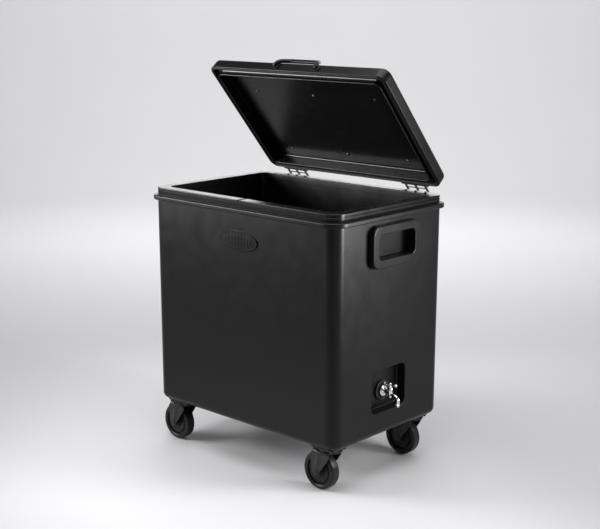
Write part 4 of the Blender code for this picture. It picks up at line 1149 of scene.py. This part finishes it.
def build_screws():
    leaf_screw = pan_screw(LEAF_SCREW_LENGTH)
    liner_screw = pan_screw(LINER_SCREW_LENGTH)
    for name in ENDS:
        for count in (1, 2):
            node = f"hinge_body_screw_{name}_{count}"
            screw = moved(leaf_screw.copy(), leaf_screw_seat(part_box(node)), ALONG_Y)
            piece(f"body_screw_{name}_{count}", screw, "screw_steel", "tub", node)
            node = f"hinge_lid_screw_{name}_{count}"
            screw = moved(leaf_screw.copy(), leaf_screw_seat(closed_box(node)), ALONG_Y)
            lid_piece(f"lid_screw_{name}_{count}", screw, "screw_steel", node)
    for count in range(1, 7):
        node = f"lid_liner_screw_{count}"
        box = closed_box(node)
        seat = middle_of(box)
        seat.z = box[0].z + SCREW_HEAD_RISE
        lid_piece(f"pan_screw_{count}", moved(liner_screw.copy(), seat, UPSIDE_DOWN), "screw_steel", node)


def leaf_screw_seat(box):
    """Where the underside of a rear-facing screw head sits."""
    seat = middle_of(box)
    seat.y = box[1].y - SCREW_HEAD_RISE
    return seat


def pin_rod(radius, start_x, end_x):
    """A round bar on the axis of the hinge pins."""
    return rod(radius, (start_x, PIN.y, PIN.z), (end_x, PIN.y, PIN.z))


def bored_leaf(leaf, extras, low, high):
    """Joins a leaf to its knuckles and drills them for the pin."""
    return without(union(leaf, *extras), pin_rod(PIN_RADIUS + HAIR, low.x - 0.01, high.x + 0.01))


def build_hinges():
    """Body leaves with two knuckles each, the pins, and the lid's leaves."""
    for name in ENDS:
        low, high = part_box(f"hinge_body_leaf_{name}")
        leaf_top = PIN.z - LEAF_DROP
        leaf = block(low, (high.x, low.y + LEAF_SKIN, leaf_top), 0.0008)
        extras = []
        for offset in (-BODY_KNUCKLE_X, BODY_KNUCKLE_X):
            left = (low.x + high.x) / 2 + offset - BODY_KNUCKLE_HALF
            right = left + 2 * BODY_KNUCKLE_HALF
            extras.append(block((left, low.y + HAIR, leaf_top - 0.006), (right, PIN.y, PIN.z)))
            extras.append(pin_rod(KNUCKLE_RADIUS, left, right))
        piece(f"body_leaf_{name}", bored_leaf(leaf, extras, low, high), "dark_steel", "tub",
              f"hinge_body_leaf_{name}")
        pin_low, pin_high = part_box(f"hinge_pin_{name}")
        pin = pin_rod(PIN_RADIUS, pin_low.x + 0.001, pin_high.x - 0.001)
        radius, length = PIN_HEAD
        head = pin_rod(radius, pin_low.x, pin_low.x + length)
        foot = pin_rod(radius, pin_high.x - length, pin_high.x)
        piece(f"pin_{name}", union(pin, head, foot), "dark_steel", "tub", f"hinge_pin_{name}")
        build_lid_leaf(name)


def build_lid_leaf(name):
    """A leaf on the lid's rear skirt, three thin fingers down to the pin and a rod across them."""
    low, high = closed_box(f"hinge_lid_leaf_{name}")
    middle = (low.x + high.x) / 2
    face = low.y
    base = RIM_TOP + 0.0006
    leaf = block((low.x, face, base), (high.x, face + LEAF_SKIN, high.z), 0.0008)
    back = PIN.y + LEAF_SKIN / 2
    extras = []
    for offset in (-FINGER_GAP, 0.0, FINGER_GAP):
        left = middle + offset - FINGER_HALF
        right = left + 2 * FINGER_HALF
        extras.append(block((left, face + 0.001, base + 0.0001), (right, back, base + LEAF_SKIN), 0.0007))
        extras.append(block((left, back - LEAF_SKIN, PIN.z), (right, back, base + LEAF_SKIN), 0.0007))
        extras.append(pin_rod(KNUCKLE_RADIUS, left, right))
    tie = (face + TIE_BACK, base + LEAF_SKIN / 2)
    extras.append(rod(TIE_RADIUS, (middle - FINGER_GAP, *tie), (middle + FINGER_GAP, *tie), 0.0002))
    lid_piece(f"lid_leaf_{name}", bored_leaf(leaf, extras, low, high), "dark_steel",
              f"hinge_lid_leaf_{name}")


def finish_hidden_nodes():
    """The seal and locknut inside the tank keep their shapes and get edges and a finish."""
    for node, finish in (("tap_seal", "soft_rubber"), ("tap_locknut", "trim_plastic")):
        kept = frame["nodes"][node]
        kept.data.materials.clear()
        kept.data.materials.append(FINISHES[finish])
        soften(kept)


# ---- stage ----

def build_floor():
    """A pale floor that sweeps up into a round wall, plain from every side."""
    floor_z = min(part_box(f"wheel_tyre_{name}")[0].z for name in CASTERS) - HAIR
    rings = [circle(radius, floor_z, SWEEP_STEPS) for radius in (0.5, 1.5, 2.5, FLOOR_RADIUS)]
    for step in range(1, 13):
        angle = radians(90 * step / 12)
        rings.append(circle(FLOOR_RADIUS + SWEEP_RADIUS * sin(angle),
                            floor_z + SWEEP_RADIUS * (1 - cos(angle)), SWEEP_STEPS))
    rings.append(circle(FLOOR_RADIUS + SWEEP_RADIUS, floor_z + WALL_HEIGHT, SWEEP_STEPS))
    mesh = loft(rings, last_cap=False)
    mesh.shade_smooth()
    floor = add_object("studio_sweep", mesh)
    made, tree, shader = blank_material("pale_sweep")
    colour = mixed(tree, noise(tree, 1.5, 3.0), *SWEEP_GREYS).outputs["Result"]
    tree.links.new(colour, shader.inputs["Base Color"])
    shader.inputs["Roughness"].default_value = SWEEP_ROUGHNESS
    shader.inputs["Specular IOR Level"].default_value = SWEEP_SPECULAR
    mesh.materials.append(made)


def area_light(name, place, target, size, power, spread):
    lamp = bpy.data.lights.new(name, "AREA")
    lamp.shape = "RECTANGLE"
    lamp.size, lamp.size_y = size
    lamp.energy = power
    lamp.spread = radians(spread)
    made = add_object(name, lamp)
    made.location = place
    made.rotation_euler = (Vector(target) - Vector(place)).to_track_quat("-Z", "Y").to_euler()
    made.visible_camera = False


def build_light():
    scene = bpy.context.scene
    world = bpy.data.worlds.new("studio")
    scene.world = world
    world.use_nodes = True
    background = world.node_tree.nodes["Background"]
    background.inputs["Color"].default_value = WORLD_COLOUR
    background.inputs["Strength"].default_value = WORLD_STRENGTH
    for lamp in LAMPS:
        area_light(*lamp)
    scene.view_settings.view_transform = "Standard"
    scene.view_settings.look = "None"


def build_camera():
    made = bpy.data.cameras.new("camera")
    made.lens = CAMERA_LENS
    made.sensor_width = CAMERA_SENSOR
    camera = add_object("camera", made)
    aim = Matrix.Rotation(CAMERA_AZIMUTH, 4, "Z") @ Matrix.Rotation(radians(90) - CAMERA_PITCH, 4, "X")
    camera.matrix_world = Matrix.Translation(CAMERA_PLACE) @ aim @ Matrix.Rotation(CAMERA_ROLL, 4, "Z")
    bpy.context.scene.camera = camera


build_camera()
build_shell()
build_tank()
build_grips()
build_badge()
build_washer()
build_tap_casting()
build_gland_nut()
build_tap_handle()
build_casters()
build_lid()
build_hinges()
build_screws()
finish_hidden_nodes()
build_floor()
build_light()
